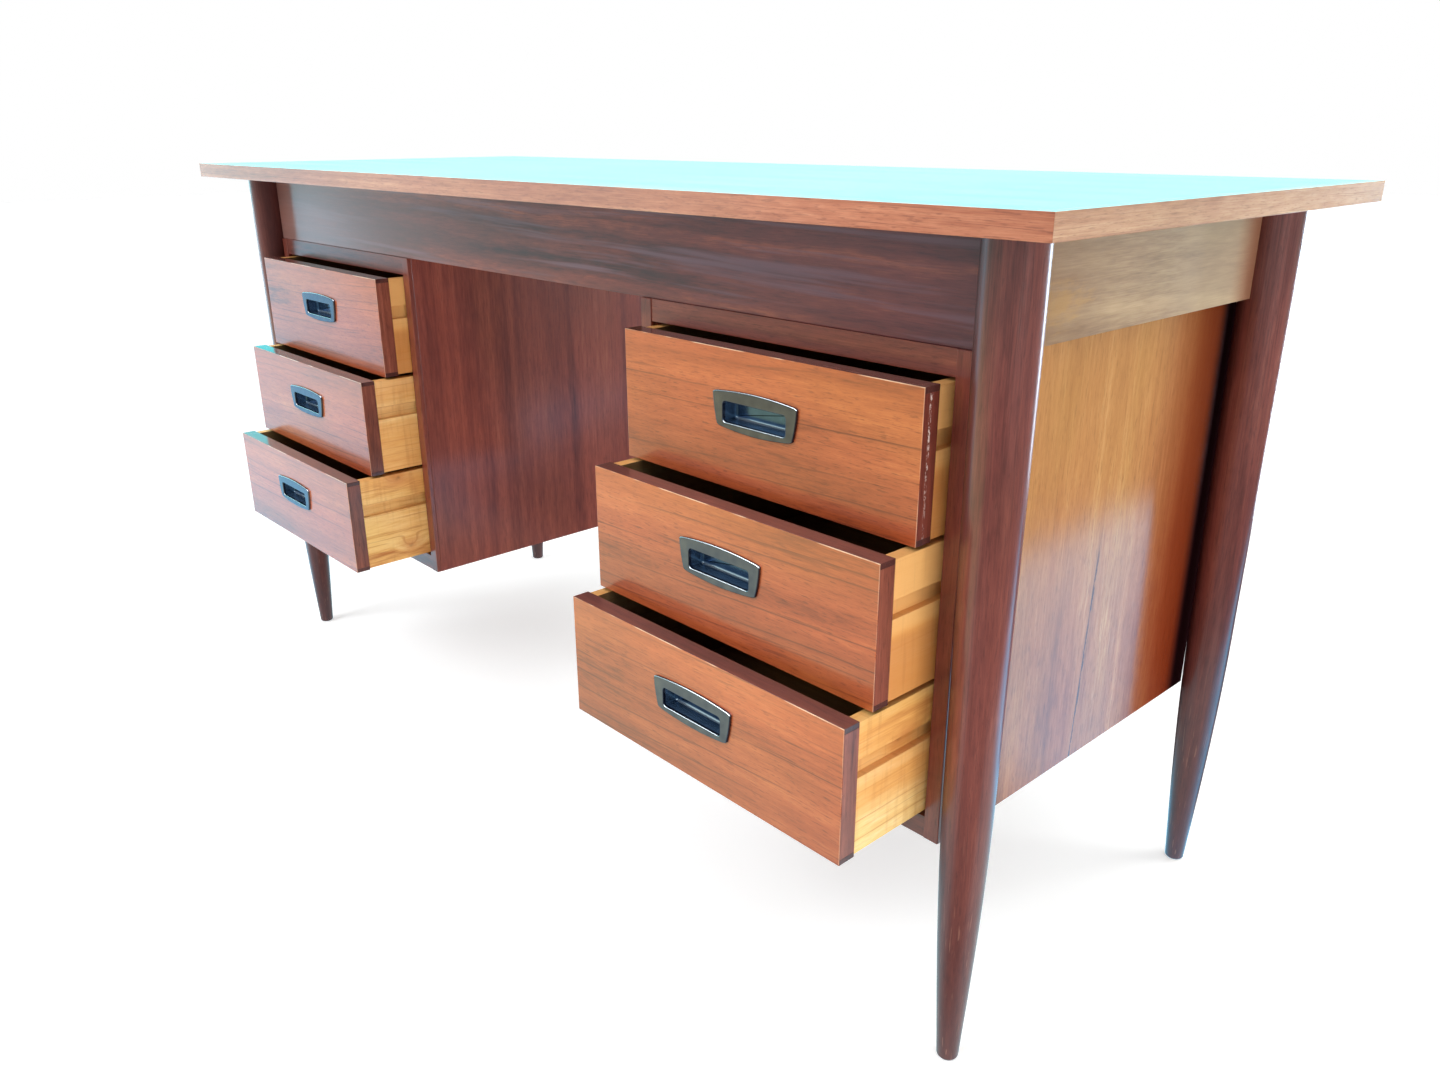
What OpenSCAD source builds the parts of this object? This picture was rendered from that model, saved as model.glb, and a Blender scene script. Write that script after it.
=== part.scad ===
// Writing desk with two hung pedestals of three drawers each.
// The desk faces -Y, its width runs along X, and it stands on the plane z = 0.
// The drawers rest partly open, the lower ones further than the upper ones.

/* [Desk top] */
// Height of the writing surface above the floor
desk_h = 730; // [680:1:800]
// Width of the top
top_w = 1416; // [1300:1:1800]
// Depth of the top
top_d = 540; // [500:1:800]
// Thickness of the top
top_t = 18; // [16:0.5:30]
// Width of the solid edge lipping round the top
top_lipping_w = 9; // [5:0.5:20]
// How far the top stands forward of the front legs' axes
top_front_overhang = 68; // [40:1:90]
// How far the top reaches behind the rear legs' axes
top_rear_overhang = 48; // [30:1:70]
// How far the top reaches past the legs' axes at each side
top_side_overhang = 68; // [40:1:100]

/* [Legs] */
// Diameter of a leg where the aprons meet it
leg_top_d = 48; // [44:0.5:56]
// Diameter of a leg where its lower taper starts
leg_shin_d = 42.4; // [36:0.2:44]
// Diameter of a leg at the floor, before its rim is rounded
leg_foot_d = 19; // [16:0.5:30]
// Height of the lower taper
leg_taper_h = 300; // [200:5:400]
// Radius of the rounded rim at the foot
foot_rim_r = 3; // [1:0.25:4]

/* [Apron frame] */
// Height of the aprons
apron_h = 86.5; // [70:0.5:110]
// Thickness of the aprons
apron_t = 20; // [16:0.5:24]
// How far the aprons' outer faces lie inside the legs' axes
apron_inset = 4.5; // [2:0.5:8]
// Thickness of the stub tenons
tenon_t = 10; // [6:0.5:12]
// Length of the stub tenons
tenon_len = 18; // [12:0.5:20]
// Distance of the tenons from the aprons' long edges
tenon_edge = 8; // [4:0.5:12]
// Height left in a leg between its upper tenon and its lower one
tenon_gap = 10.5; // [2:0.5:20]
// Length of a corner block's two short sides
corner_block_leg = 50; // [36:1:60]
// Height of the corner blocks
corner_block_h = 34; // [20:1:50]

/* [Pedestals] */
// Width of a pedestal over its side panels; the kneehole takes the rest
pedestal_w = 381; // [340:1:420]
// Gap between a pedestal's outer side and the legs beside it
pedestal_leg_gap = 4; // [1:0.5:20]
// How far a pedestal's front stands forward of the front apron
pedestal_proud = 3.5; // [0:0.5:6]
// How far a pedestal's rear edges stand out behind the rear apron
pedestal_rear_proud = 17.5; // [8:0.5:24]
// Thickness of the side panels
side_t = 15; // [14:0.5:22]
// Thickness of the solid lipping on the side panels' front edges
side_lipping_t = 6; // [3:0.5:12]
// Thickness of the pedestal bottoms
bottom_t = 20; // [16:0.5:24]
// Height of the front and rear rails under the aprons
rail_h = 21; // [16:0.5:24]
// Depth of those rails
rail_d = 60; // [50:1:90]
// How far rails and bottom lie behind the side panels' front edges
front_setback = 1; // [0:0.5:4]
// Thickness of the back panels
back_t = 8; // [6:0.5:12]
// How far the back panels lie inside the side panels' rear edges
back_inset = 4; // [2:0.5:10]
// Diameter of the dowels in the pedestals
dowel_d = 8; // [6:0.5:10]
// Length of the dowels in the pedestals
dowel_len = 28; // [20:1:32]
// Reach of the dowels into the side panels
dowel_bite = 9.5; // [6:0.5:12]
// Distance of the outer dowels from the bottom's front and rear edges
bottom_dowel_edge = 50; // [20:1:100]

/* [Drawer runners] */
// Height of a runner
runner_h = 14.5; // [10:0.5:15]
// Clearance between a closed front and the ends of its runners
runner_front_gap = 0.3; // [0.2:0.1:2]
// Distance between the rear ends of the runners and the back panel
runner_rear_gap = 25.7; // [1:0.1:100]
// Distance of the runner screws from a runner's ends
runner_screw_edge = 47; // [15:1:100]
// Clearance between a runner and the groove that rides on it
runner_seat = 0.3; // [0.2:0.05:0.5]
// Clearance between a runner and the floor of its groove
runner_side_gap = 0.7; // [0.3:0.1:1.5]

/* [Drawer fronts] */
// Height of a drawer front
front_h = 122.8; // [100:0.2:150]
// Thickness of a drawer front
front_t = 18; // [17.5:0.5:24]
// Gap between two fronts, one above the other
front_reveal = 2; // [1.5:0.1:3]
// Gap between the lowest front and the pedestal bottom
sill_reveal = 3.6; // [1.5:0.1:6]
// Gap between the highest front and the rail above it
head_reveal = 2.5; // [1.5:0.1:6]
// Gap between a front and the side panel beside it
side_reveal = 1.6; // [1:0.1:3]

/* [Drawer boxes] */
// Distance between the rear end of a closed drawer and the back panel
box_rear_gap = 14; // [2:0.5:100]
// Thickness of a drawer's sides
box_side_t = 12; // [11.5:0.5:14]
// How far the sides lie inside the front's ends
box_side_inset = 0.8; // [0.5:0.1:2]
// How much lower than the front the sides are, at top and at bottom
box_side_drop = 1.5; // [1:0.1:4]
// Distance from a front's top edge down to the runner groove
groove_drop = 35; // [25:0.5:45]
// Height of the runner groove
groove_h = 16; // [15.5:0.1:20]
// Depth of the runner groove
groove_depth = 6.5; // [5:0.1:7]
// Thickness of a drawer's back
box_back_t = 10; // [8:0.5:14]
// How far the back lies inside the rear ends of the sides
box_back_inset = 8; // [4:0.5:20]
// Thickness of a drawer's bottom
box_bottom_t = 4; // [3:0.5:6]
// Height of the bottom above the lower edge of the sides
box_bottom_z = 7; // [6:0.5:12]
// Depth of the grooves, housings and tongues that hold a drawer together
housing = 3.5; // [2.5:0.1:4]
// Thickness of the tongues by which the sides are held in the front
tongue_t = 3.8; // [2.5:0.1:4.2]

/* [Drawer pulls] */
// Width of a pull's flange along its upper edge
pull_top_w = 101; // [90:1:120]
// Width of the flange along its lower edge
pull_bottom_w = 90; // [84:1:110]
// Height of the flange over its arched edges
pull_h = 36.5; // [32:0.5:44]
// Rise of the arched upper and lower edges
pull_arch = 3.2; // [1:0.1:5]
// Bow of the two ends
pull_bow = 1; // [0:0.1:3]
// Thickness of the flange
pull_flange_t = 2.4; // [1.5:0.1:4]
// Distance from a front's top edge down to the middle of its pull
pull_drop = 52.5; // [45:0.5:61]
// Width of the finger recess
recess_w = 75; // [60:1:80]
// Height of the finger recess
recess_h = 18.5; // [15:0.5:22]
// Depth of the finger recess behind the front's face
recess_depth = 13.5; // [10:0.5:14]
// How far the recess lies below the middle of the flange
recess_drop = 2; // [0:0.5:4]
// Wall of the cup
cup_wall = 1.6; // [1.2:0.1:2]
// Distance between a pull's two fixing screws
pull_screw_spacing = 40; // [20:1:50]

/* [Rest position] */
// Opening of the left top drawer
left_top_open = 37; // [0:1:280]
// Opening of the left middle drawer
left_middle_open = 71; // [0:1:280]
// Opening of the left bottom drawer
left_bottom_open = 106; // [0:1:280]
// Opening of the right top drawer
right_top_open = 33; // [0:1:280]
// Opening of the right middle drawer
right_middle_open = 74; // [0:1:280]
// Opening of the right bottom drawer
right_bottom_open = 107; // [0:1:280]

/* [Fits and screws] */
// Clearance of a glued or housed joint
fit = 0.1; // [0.05:0.05:0.3]
// Diameter of the frame screws
frame_screw_d = 5; // [4:0.5:6]
// Reach of the frame screws into the piece that they hold
frame_screw_bite = 12; // [6:0.5:13]
// Diameter of the runner screws
runner_screw_d = 3.5; // [3:0.5:4]
// Reach of the runner screws into the side panel
runner_screw_bite = 10; // [6:0.5:12]
// Diameter of the pull screws
pull_screw_d = 3; // [2.5:0.5:4]
// Height of all screw heads
screw_head_h = 2; // [1.5:0.1:2.5]

/* [Hidden] */
$fn = 48;
SIDES = ["left", "right"];
TIERS = ["bottom", "middle", "top"];
DRAWER_PIECES = ["front", "sides", "back", "bottom", "pull"];
DRAWER_NODES = [for (s = SIDES, t = TIERS, p = DRAWER_PIECES) str(s, "_", t, "_drawer_", p)];
PEDESTAL_PIECES = ["outer_side", "inner_side", "lippings", "bottom", "back", "rails", "runners"];
PEDESTAL_NODES = [for (s = SIDES, p = PEDESTAL_PIECES) str(s, "_pedestal_", p)];

TEAK = "peru";
DARK_TEAK = "saddlebrown";
PINE = "burlywood";
STEEL = "silver";
BRONZE = "slategray";

// Heights
drawer_pitch = front_h + front_reveal;
top_z = desk_h - top_t;
apron_z = top_z - apron_h;
rail_z = apron_z - rail_h;
drawer_z = rail_z - head_reveal + front_reveal - len(TIERS) * drawer_pitch;
pedestal_z = drawer_z - sill_reveal - bottom_t;

// Plan of the frame, measured from the middle of the four legs
leg_x = top_w / 2 - top_side_overhang;
leg_y = (top_d - top_front_overhang - top_rear_overhang) / 2;
leg_r = leg_top_d / 2;
apron_face_x = leg_x - apron_inset;
apron_face_y = leg_y - apron_inset;
tenon_h = (apron_h - tenon_gap) / 2 - tenon_edge;
shoulder_gap = leg_r - sqrt(leg_r * leg_r - apron_inset * apron_inset);
shoulder_x = leg_x - leg_r + shoulder_gap - fit;
shoulder_y = leg_y - leg_r + shoulder_gap - fit;
top_front_y = -leg_y - top_front_overhang;
top_rear_y = top_front_y + top_d;

// Plan of the pedestals
pedestal_front_y = -apron_face_y - pedestal_proud;
pedestal_rear_y = apron_face_y + pedestal_rear_proud;
pedestal_mid_x = leg_x - leg_r - pedestal_leg_gap - pedestal_w / 2;
inside_w = pedestal_w - 2 * side_t;
inside_rear_y = pedestal_rear_y - back_inset - back_t;
rail_front_y = pedestal_front_y + front_setback;

// Drawers
front_w = inside_w - 2 * side_reveal;
box_len = inside_rear_y - box_rear_gap - pedestal_front_y - front_t;
box_w = front_w - 2 * box_side_inset;
box_inside_w = box_w - 2 * box_side_t;
box_h = front_h - 2 * box_side_drop;
groove_top = front_h - groove_drop;
back_y = front_t + box_len - box_back_inset - box_back_t;
bottom_z = box_side_drop + box_bottom_z;
runner_w = side_reveal + box_side_inset + groove_depth - runner_side_gap;
runner_y = pedestal_front_y + front_t + runner_front_gap;
runner_len = inside_rear_y - runner_rear_gap - runner_y;
OPEN = [[left_bottom_open, left_middle_open, left_top_open],
    [right_bottom_open, right_middle_open, right_top_open]];

// Pulls
pull_z = front_h - pull_drop;
recess_z = pull_z - recess_drop;
corner_z = pull_h / 2 - pull_arch;
pull_corner_cut = 0.06;

// The origin lies under the middle of the whole desk, open drawers included
foremost_y = min(top_front_y, pedestal_front_y - max([for (o = OPEN) max(o)]) - pull_flange_t);
origin_shift = -(foremost_y + top_rear_y) / 2;

// Screws and dowels
screw_play = 0.1;
corner_screw_off = corner_block_leg / 3;
rail_screw_xs = [-inside_w / 4, inside_w / 4];
rail_screw_ys = [(max(-apron_face_y, rail_front_y) - apron_face_y + apron_t) / 2,
    (apron_face_y - apron_t + min(apron_face_y, inside_rear_y)) / 2];
runner_screw_ys = [runner_screw_edge, runner_len - runner_screw_edge];
bottom_dowel_ys = [rail_front_y + bottom_dowel_edge, (rail_front_y + inside_rear_y) / 2,
    inside_rear_y - bottom_dowel_edge];
rail_dowel_ys = [rail_front_y + rail_d / 2, inside_rear_y - rail_d / 2];
pull_screw_reach = front_t - recess_depth - cup_wall / 4;

// ---------- small helpers ----------

// Places a piece that is measured from the middle of the four legs
module desk() { translate([0, origin_shift, 0]) children(); }

// A block between two opposite corners
module block(a, b) { translate(a) cube(b - a); }

// A screw whose head's outer face is at the origin and whose shank points to +Z
module screw(d, len, play = 0) {
    cylinder(d = 2 * d + 2 * play, h = screw_head_h + play);
    cylinder(d = d + 2 * play, h = len + play);
}

// The hole for that screw, run out past the head's face
module screw_hole(d, len) {
    screw(d, len, screw_play);
    translate([0, 0, -1]) cylinder(d = 2 * d + 2 * screw_play, h = 1 + screw_head_h);
}

// ---------- desk top ----------

module top_panel() {
    color(TEAK) desk() difference() {
        block([-top_w / 2 + top_lipping_w + fit, top_front_y + top_lipping_w + fit, top_z],
            [top_w / 2 - top_lipping_w - fit, top_rear_y - top_lipping_w - fit, desk_h]);
        corner_screws() screw_hole(frame_screw_d, corner_block_h + frame_screw_bite);
    }
}

// One lipping along +X, mitred at both ends, its outer edge on y = 0
module mitred_lipping(len) {
    linear_extrude(top_t) polygon([[fit, 0], [len - fit, 0],
        [len - top_lipping_w - fit, top_lipping_w], [top_lipping_w + fit, top_lipping_w]]);
}

module top_lippings() {
    color(DARK_TEAK) desk() translate([0, (top_front_y + top_rear_y) / 2, top_z])
        for (turn = [0, 180]) rotate(turn) {
            translate([-top_w / 2, -top_d / 2, 0]) mitred_lipping(top_w);
            rotate(90) translate([-top_d / 2, -top_w / 2, 0]) mitred_lipping(top_d);
        }
}

// ---------- legs and aprons ----------

// Radius of a leg at height z: a sine taper up to the shin, then straight to the apron
function leg_radius(z) = z < leg_taper_h
    ? leg_foot_d / 2 + (leg_shin_d - leg_foot_d) / 2 * sin(90 * z / leg_taper_h)
    : leg_shin_d / 2 + (leg_top_d - leg_shin_d) / 2
        * min(1, (z - leg_taper_h) / (apron_z - leg_taper_h));

module leg_shape() {
    taper_steps = 16;
    rim = [for (a = [0:22.5:90])
        [leg_radius(foot_rim_r) - foot_rim_r + foot_rim_r * sin(a), foot_rim_r * (1 - cos(a))]];
    taper = [for (i = [1:taper_steps])
        let (z = foot_rim_r + (leg_taper_h - foot_rim_r) * i / taper_steps) [leg_radius(z), z]];
    rotate_extrude($fn = 72) polygon(concat([[0, 0]], rim, taper,
        [[leg_r, apron_z], [leg_r, top_z], [0, top_z]]));
}

// Tenon of the front and rear aprons, in the frame's right-hand front quarter
module long_tenon(play = 0) {
    z1 = top_z - tenon_edge;
    block([shoulder_x - 1, -apron_face_y + (apron_t - tenon_t) / 2 - play, z1 - tenon_h - play],
        [shoulder_x + tenon_len + play, -apron_face_y + (apron_t + tenon_t) / 2 + play, z1 + play]);
}

// Tenon of the side aprons, in the same quarter but in the lower half of the apron
module short_tenon(play = 0) {
    z0 = apron_z + tenon_edge;
    block([apron_face_x - (apron_t + tenon_t) / 2 - play, -shoulder_y - tenon_len - play, z0 - play],
        [apron_face_x - (apron_t - tenon_t) / 2 + play, -shoulder_y + 1, z0 + tenon_h + play]);
}

// Space for the end of a front or rear apron behind the leg, cut from the side aprons
module long_apron_corner() {
    block([apron_face_x - apron_t - 1, -shoulder_y - 1, apron_z - 1],
        [shoulder_x + fit, -apron_face_y + apron_t + fit, top_z + 1]);
}

// A leg in the right-hand front corner, with its two mortises
module leg(side, end) {
    color(DARK_TEAK) desk() mirror([side, 0, 0]) mirror([0, end, 0]) difference() {
        translate([leg_x, -leg_y, 0]) leg_shape();
        long_tenon(fit);
        short_tenon(fit);
    }
}

module long_apron(end) {
    color(TEAK) desk() difference() {
        mirror([0, end, 0]) {
            block([-shoulder_x, -apron_face_y, apron_z], [shoulder_x, -apron_face_y + apron_t, top_z]);
            for (side = [0, 1]) mirror([side, 0, 0]) long_tenon();
        }
        for (side = [0, 1]) mirror([side, 0, 0]) mirror([0, end, 0]) short_tenon(fit);
        rail_screws() screw_hole(frame_screw_d, rail_h + frame_screw_bite);
    }
}

module short_apron(side) {
    color(TEAK) desk() mirror([side, 0, 0]) {
        difference() {
            block([apron_face_x - apron_t, -shoulder_y, apron_z], [apron_face_x, shoulder_y, top_z]);
            for (end = [0, 1]) mirror([0, end, 0]) {
                long_apron_corner();
                long_tenon(fit);
            }
        }
        for (end = [0, 1]) mirror([0, end, 0]) short_tenon();
    }
}

// Puts its children at the four corner screws, pointing up
module corner_screws() {
    for (side = [-1, 1], end = [-1, 1])
        translate([side * (apron_face_x - apron_t - corner_screw_off),
            end * (apron_face_y - apron_t - corner_screw_off), top_z - corner_block_h]) children();
}

// Puts its children at the screws that hold the pedestals' rails to the front and rear aprons,
// each in the middle of the width by which rail and apron overlap
module rail_screws() {
    for (side = [-1, 1], x = rail_screw_xs, y = rail_screw_ys)
        translate([side * pedestal_mid_x + x, y, rail_z]) children();
}

module corner_blocks() {
    color(PINE) desk() difference() {
        for (side = [0, 1], end = [0, 1]) mirror([side, 0, 0]) mirror([0, end, 0])
            translate([apron_face_x - apron_t, -apron_face_y + apron_t, top_z - corner_block_h])
                linear_extrude(corner_block_h)
                    polygon([[0, 0], [0, corner_block_leg], [-corner_block_leg, 0]]);
        corner_screws() screw_hole(frame_screw_d, corner_block_h + frame_screw_bite);
    }
}

module frame_screws() {
    color(STEEL) desk() {
        corner_screws() screw(frame_screw_d, corner_block_h + frame_screw_bite);
        rail_screws() screw(frame_screw_d, rail_h + frame_screw_bite);
    }
}

// ---------- pedestals ----------

// Puts its children in a pedestal's frame: x = 0 in its middle, +X towards its outer side
module pedestal(side) {
    desk() mirror([1 - side, 0, 0]) translate([pedestal_mid_x, 0, 0]) children();
}

// Dowels of one pedestal, pointing outwards from its inside faces
module dowel_places() {
    for (hand = [-1, 1]) {
        for (y = bottom_dowel_ys)
            translate([hand * inside_w / 2, y, pedestal_z + bottom_t / 2]) rotate([0, 90 * hand, 0])
                children();
        for (y = rail_dowel_ys)
            translate([hand * inside_w / 2, y, rail_z + rail_h / 2]) rotate([0, 90 * hand, 0])
                children();
    }
}

module dowel(play = 0) {
    translate([0, 0, dowel_bite - dowel_len - play])
        cylinder(d = dowel_d + 2 * play, h = dowel_len + 2 * play);
}

// Puts its children at the runner screws of one pedestal, pointing into the side panels
module runner_screw_places(hands = [-1, 1]) {
    for (hand = hands, tier = [0:len(TIERS) - 1], y = runner_screw_ys)
        translate([hand * (inside_w / 2 - runner_w), runner_y + y,
            drawer_z + tier * drawer_pitch + groove_top - runner_seat - runner_h / 2])
            rotate([0, 90 * hand, 0]) children();
}

// A side panel on the +X (hand = 1) or -X (hand = -1) side of its pedestal
module side_panel(side, hand) {
    color(TEAK) pedestal(side) difference() {
        mirror([(1 - hand) / 2, 0, 0])
            block([inside_w / 2, pedestal_front_y + side_lipping_t, pedestal_z],
                [pedestal_w / 2, pedestal_rear_y, apron_z]);
        dowel_places() dowel(fit);
        runner_screw_places([hand]) screw_hole(runner_screw_d, runner_w + runner_screw_bite);
    }
}

module pedestal_lippings(side) {
    color(DARK_TEAK) pedestal(side) for (hand = [0, 1]) mirror([hand, 0, 0])
        block([inside_w / 2, pedestal_front_y, pedestal_z],
            [pedestal_w / 2, pedestal_front_y + side_lipping_t - fit, apron_z]);
}

module pedestal_bottom(side) {
    color(DARK_TEAK) pedestal(side) difference() {
        block([-inside_w / 2, rail_front_y, pedestal_z],
            [inside_w / 2, inside_rear_y, pedestal_z + bottom_t]);
        dowel_places() dowel(fit);
    }
}

module pedestal_back(side) {
    color(TEAK) pedestal(side)
        block([-inside_w / 2, inside_rear_y, pedestal_z], [inside_w / 2, inside_rear_y + back_t, apron_z]);
}

module pedestal_rails(side) {
    color(DARK_TEAK) pedestal(side) difference() {
        for (y = [rail_front_y, inside_rear_y - rail_d])
            block([-inside_w / 2, y, rail_z], [inside_w / 2, y + rail_d, apron_z]);
        dowel_places() dowel(fit);
        translate([-pedestal_mid_x, 0, 0])
            rail_screws() screw_hole(frame_screw_d, rail_h + frame_screw_bite);
    }
}

module pedestal_runners(side) {
    color(PINE) pedestal(side) difference() {
        for (hand = [0, 1], tier = [0:len(TIERS) - 1]) mirror([hand, 0, 0]) {
            z1 = drawer_z + tier * drawer_pitch + groove_top - runner_seat;
            block([inside_w / 2 - runner_w, runner_y, z1 - runner_h],
                [inside_w / 2, runner_y + runner_len, z1]);
        }
        runner_screw_places() screw_hole(runner_screw_d, runner_w + runner_screw_bite);
    }
}

module pedestal_dowels() {
    color(PINE) for (side = [0, 1]) pedestal(side) dowel_places() dowel();
}

module runner_screws() {
    color(STEEL) for (side = [0, 1]) pedestal(side)
        runner_screw_places() screw(runner_screw_d, runner_w + runner_screw_bite);
}

// ---------- drawers ----------

// Puts its children in a drawer's frame: x = 0 in its middle, y = 0 on the face of its front
// and z = 0 on the front's lower edge
module drawer(side, tier) {
    desk() translate([(2 * side - 1) * pedestal_mid_x, pedestal_front_y - OPEN[side][tier],
        drawer_z + tier * drawer_pitch]) children();
}

// Puts its children at the two screws of a pull, pointing forwards through the front
module pull_screw_places() {
    for (x = [-pull_screw_spacing / 2, pull_screw_spacing / 2])
        translate([x, front_t, recess_z]) rotate([90, 0, 0]) children();
}

module drawer_front() {
    color(TEAK) difference() {
        block([-front_w / 2, 0, 0], [front_w / 2, front_t, front_h]);
        cup_block(fit);
        drawer_bottom(fit);
        for (hand = [0, 1]) mirror([hand, 0, 0]) side_tongue(fit);
        pull_screw_places() cylinder(d = pull_screw_d + 2 * screw_play, h = front_t);
    }
}

// The tongue by which the right-hand side is held in the front
module side_tongue(play = 0) {
    x = box_w / 2 - (box_side_t + groove_depth) / 2;
    z0 = bottom_z + box_bottom_t + housing;
    block([x - tongue_t / 2 - play, front_t - housing - play, z0 - play],
        [x + tongue_t / 2 + play, front_t + 1, front_h - z0 + play]);
}

module drawer_sides() {
    color(PINE) for (hand = [0, 1]) mirror([hand, 0, 0]) difference() {
        union() {
            block([box_w / 2 - box_side_t, front_t, box_side_drop],
                [box_w / 2, front_t + box_len, box_side_drop + box_h]);
            side_tongue();
        }
        block([box_w / 2 - groove_depth, front_t - 1, groove_top - groove_h],
            [box_w / 2 + 1, front_t + box_len + 1, groove_top]);
        drawer_bottom(fit);
        drawer_back(fit);
    }
}

module drawer_back(play = 0) {
    x = box_inside_w / 2 + housing;
    color(PINE) block([-x - play, back_y - play, bottom_z + box_bottom_t + fit],
        [x + play, back_y + box_back_t + play, front_h - 2 * box_side_drop + play]);
}

module drawer_bottom(play = 0) {
    x = box_inside_w / 2 + housing;
    color(PINE) block([-x - play, front_t - housing - play, bottom_z - play],
        [x + play, back_y + box_back_t + play, bottom_z + box_bottom_t + play]);
}

// ---------- pulls ----------

function bezier(a, b, c, n) = [for (i = [0:n]) let (t = i / n)
    (1 - t) * (1 - t) * a + 2 * t * (1 - t) * b + t * t * c];

// Points on a bowed edge from a to b, leaving out a little at each end
function bowed(a, b, bow, n) = let (out = [b[1] - a[1], a[0] - b[0]] / norm(b - a))
    [for (i = [0:n]) let (t = pull_corner_cut + (1 - 2 * pull_corner_cut) * i / n)
        a + t * (b - a) + 4 * t * (1 - t) * bow * out];

// Outline of the flange: arched upper and lower edges and ends that lean inwards to the bottom
function pull_outline() =
    let (tl = [-pull_top_w / 2, corner_z], tr = [pull_top_w / 2, corner_z],
        br = [pull_bottom_w / 2, -corner_z], bl = [-pull_bottom_w / 2, -corner_z],
        top = bowed(tr, tl, pull_arch, 16), left = bowed(tl, bl, pull_bow, 4),
        bottom = bowed(bl, br, pull_arch, 16), right = bowed(br, tr, pull_bow, 4),
        corner = function(a, c, b) bezier(a[len(a) - 1], c, b[0], 4))
    concat(top, corner(top, tl, left), left, corner(left, bl, bottom),
        bottom, corner(bottom, br, right), right, corner(right, tr, top));

// Outside of the cup behind the flange, which the front is pocketed for
module cup_block(play = 0) {
    w = recess_w / 2 + cup_wall + play;
    h = recess_h / 2 + cup_wall + play;
    block([-w, -1, recess_z - h], [w, recess_depth + cup_wall + play, recess_z + h]);
}

module drawer_pull() {
    color(BRONZE) difference() {
        union() {
            translate([0, 0, pull_z]) rotate([90, 0, 0]) linear_extrude(pull_flange_t)
                polygon(pull_outline());
            cup_block();
        }
        block([-recess_w / 2, -pull_flange_t - 1, recess_z - recess_h / 2],
            [recess_w / 2, recess_depth, recess_z + recess_h / 2]);
        pull_screw_places() cylinder(d = pull_screw_d + 2 * screw_play,
            h = pull_screw_reach + screw_play);
    }
    color(STEEL) pull_screw_places() {
        translate([0, 0, -screw_head_h]) cylinder(d = 2 * pull_screw_d, h = screw_head_h);
        cylinder(d = pull_screw_d, h = pull_screw_reach);
    }
}

top_panel();
top_lippings();
leg(1, 0);  // leg_front_left
leg(0, 0);  // leg_front_right
leg(1, 1);  // leg_rear_left
leg(0, 1);  // leg_rear_right
long_apron(0);  // apron_front
long_apron(1);  // apron_rear
short_apron(1);  // apron_left
short_apron(0);  // apron_right
corner_blocks();
frame_screws();
pedestal_dowels();
runner_screws();

for (side = [0, 1]) {
    name = str(SIDES[side], "_pedestal_");
    side_panel(side, 1);
    side_panel(side, -1);
    pedestal_lippings(side);
    pedestal_bottom(side);
    pedestal_back(side);
    pedestal_rails(side);
    pedestal_runners(side);
}

for (side = [0, 1], tier = [0:len(TIERS) - 1]) {
    name = str(SIDES[side], "_", TIERS[tier], "_drawer_");
    drawer(side, tier) drawer_front();
    drawer(side, tier) drawer_sides();
    drawer(side, tier) drawer_back();
    drawer(side, tier) drawer_bottom();
    drawer(side, tier) drawer_pull();
}
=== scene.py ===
"""Looks of a writing desk with drawers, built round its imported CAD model.

Everything is in metres in the CAD frame: +X to the right of someone who stands before the desk,
-Y out of its front, where the drawers open, and +Z up.
"""

import math

import bmesh
import bpy
from mathutils import Matrix, Vector


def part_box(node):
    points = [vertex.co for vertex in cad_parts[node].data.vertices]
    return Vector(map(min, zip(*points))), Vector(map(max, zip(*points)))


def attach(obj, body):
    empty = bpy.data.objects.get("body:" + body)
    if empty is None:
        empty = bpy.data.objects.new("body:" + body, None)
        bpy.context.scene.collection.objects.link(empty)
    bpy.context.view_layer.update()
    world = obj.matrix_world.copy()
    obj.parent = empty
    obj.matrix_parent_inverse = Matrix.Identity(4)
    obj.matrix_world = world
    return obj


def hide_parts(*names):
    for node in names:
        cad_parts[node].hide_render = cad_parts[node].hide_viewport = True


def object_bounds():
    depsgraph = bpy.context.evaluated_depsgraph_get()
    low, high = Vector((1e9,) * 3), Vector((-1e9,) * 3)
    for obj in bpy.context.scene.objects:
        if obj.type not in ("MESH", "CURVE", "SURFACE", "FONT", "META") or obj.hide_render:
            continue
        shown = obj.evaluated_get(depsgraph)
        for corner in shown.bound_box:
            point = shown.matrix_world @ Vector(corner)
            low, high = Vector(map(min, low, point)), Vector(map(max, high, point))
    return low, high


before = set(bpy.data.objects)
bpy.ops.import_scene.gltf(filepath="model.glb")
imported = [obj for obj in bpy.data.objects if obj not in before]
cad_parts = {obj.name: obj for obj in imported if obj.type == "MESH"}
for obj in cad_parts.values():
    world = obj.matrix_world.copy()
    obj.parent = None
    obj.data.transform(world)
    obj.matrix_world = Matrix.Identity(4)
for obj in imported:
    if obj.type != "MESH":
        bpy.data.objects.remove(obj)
cad_low, cad_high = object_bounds()

SIDES = ("left", "right")
TIERS = ("bottom", "middle", "top")
CHIPPED_DRAWER = "right_top_drawer"
PAINTED_SHADE_DRAWERS = ("left_top_drawer", "right_middle_drawer", "right_top_drawer")
MM = 0.001

# ----- sizes that the CAD boxes don't give -----

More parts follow.
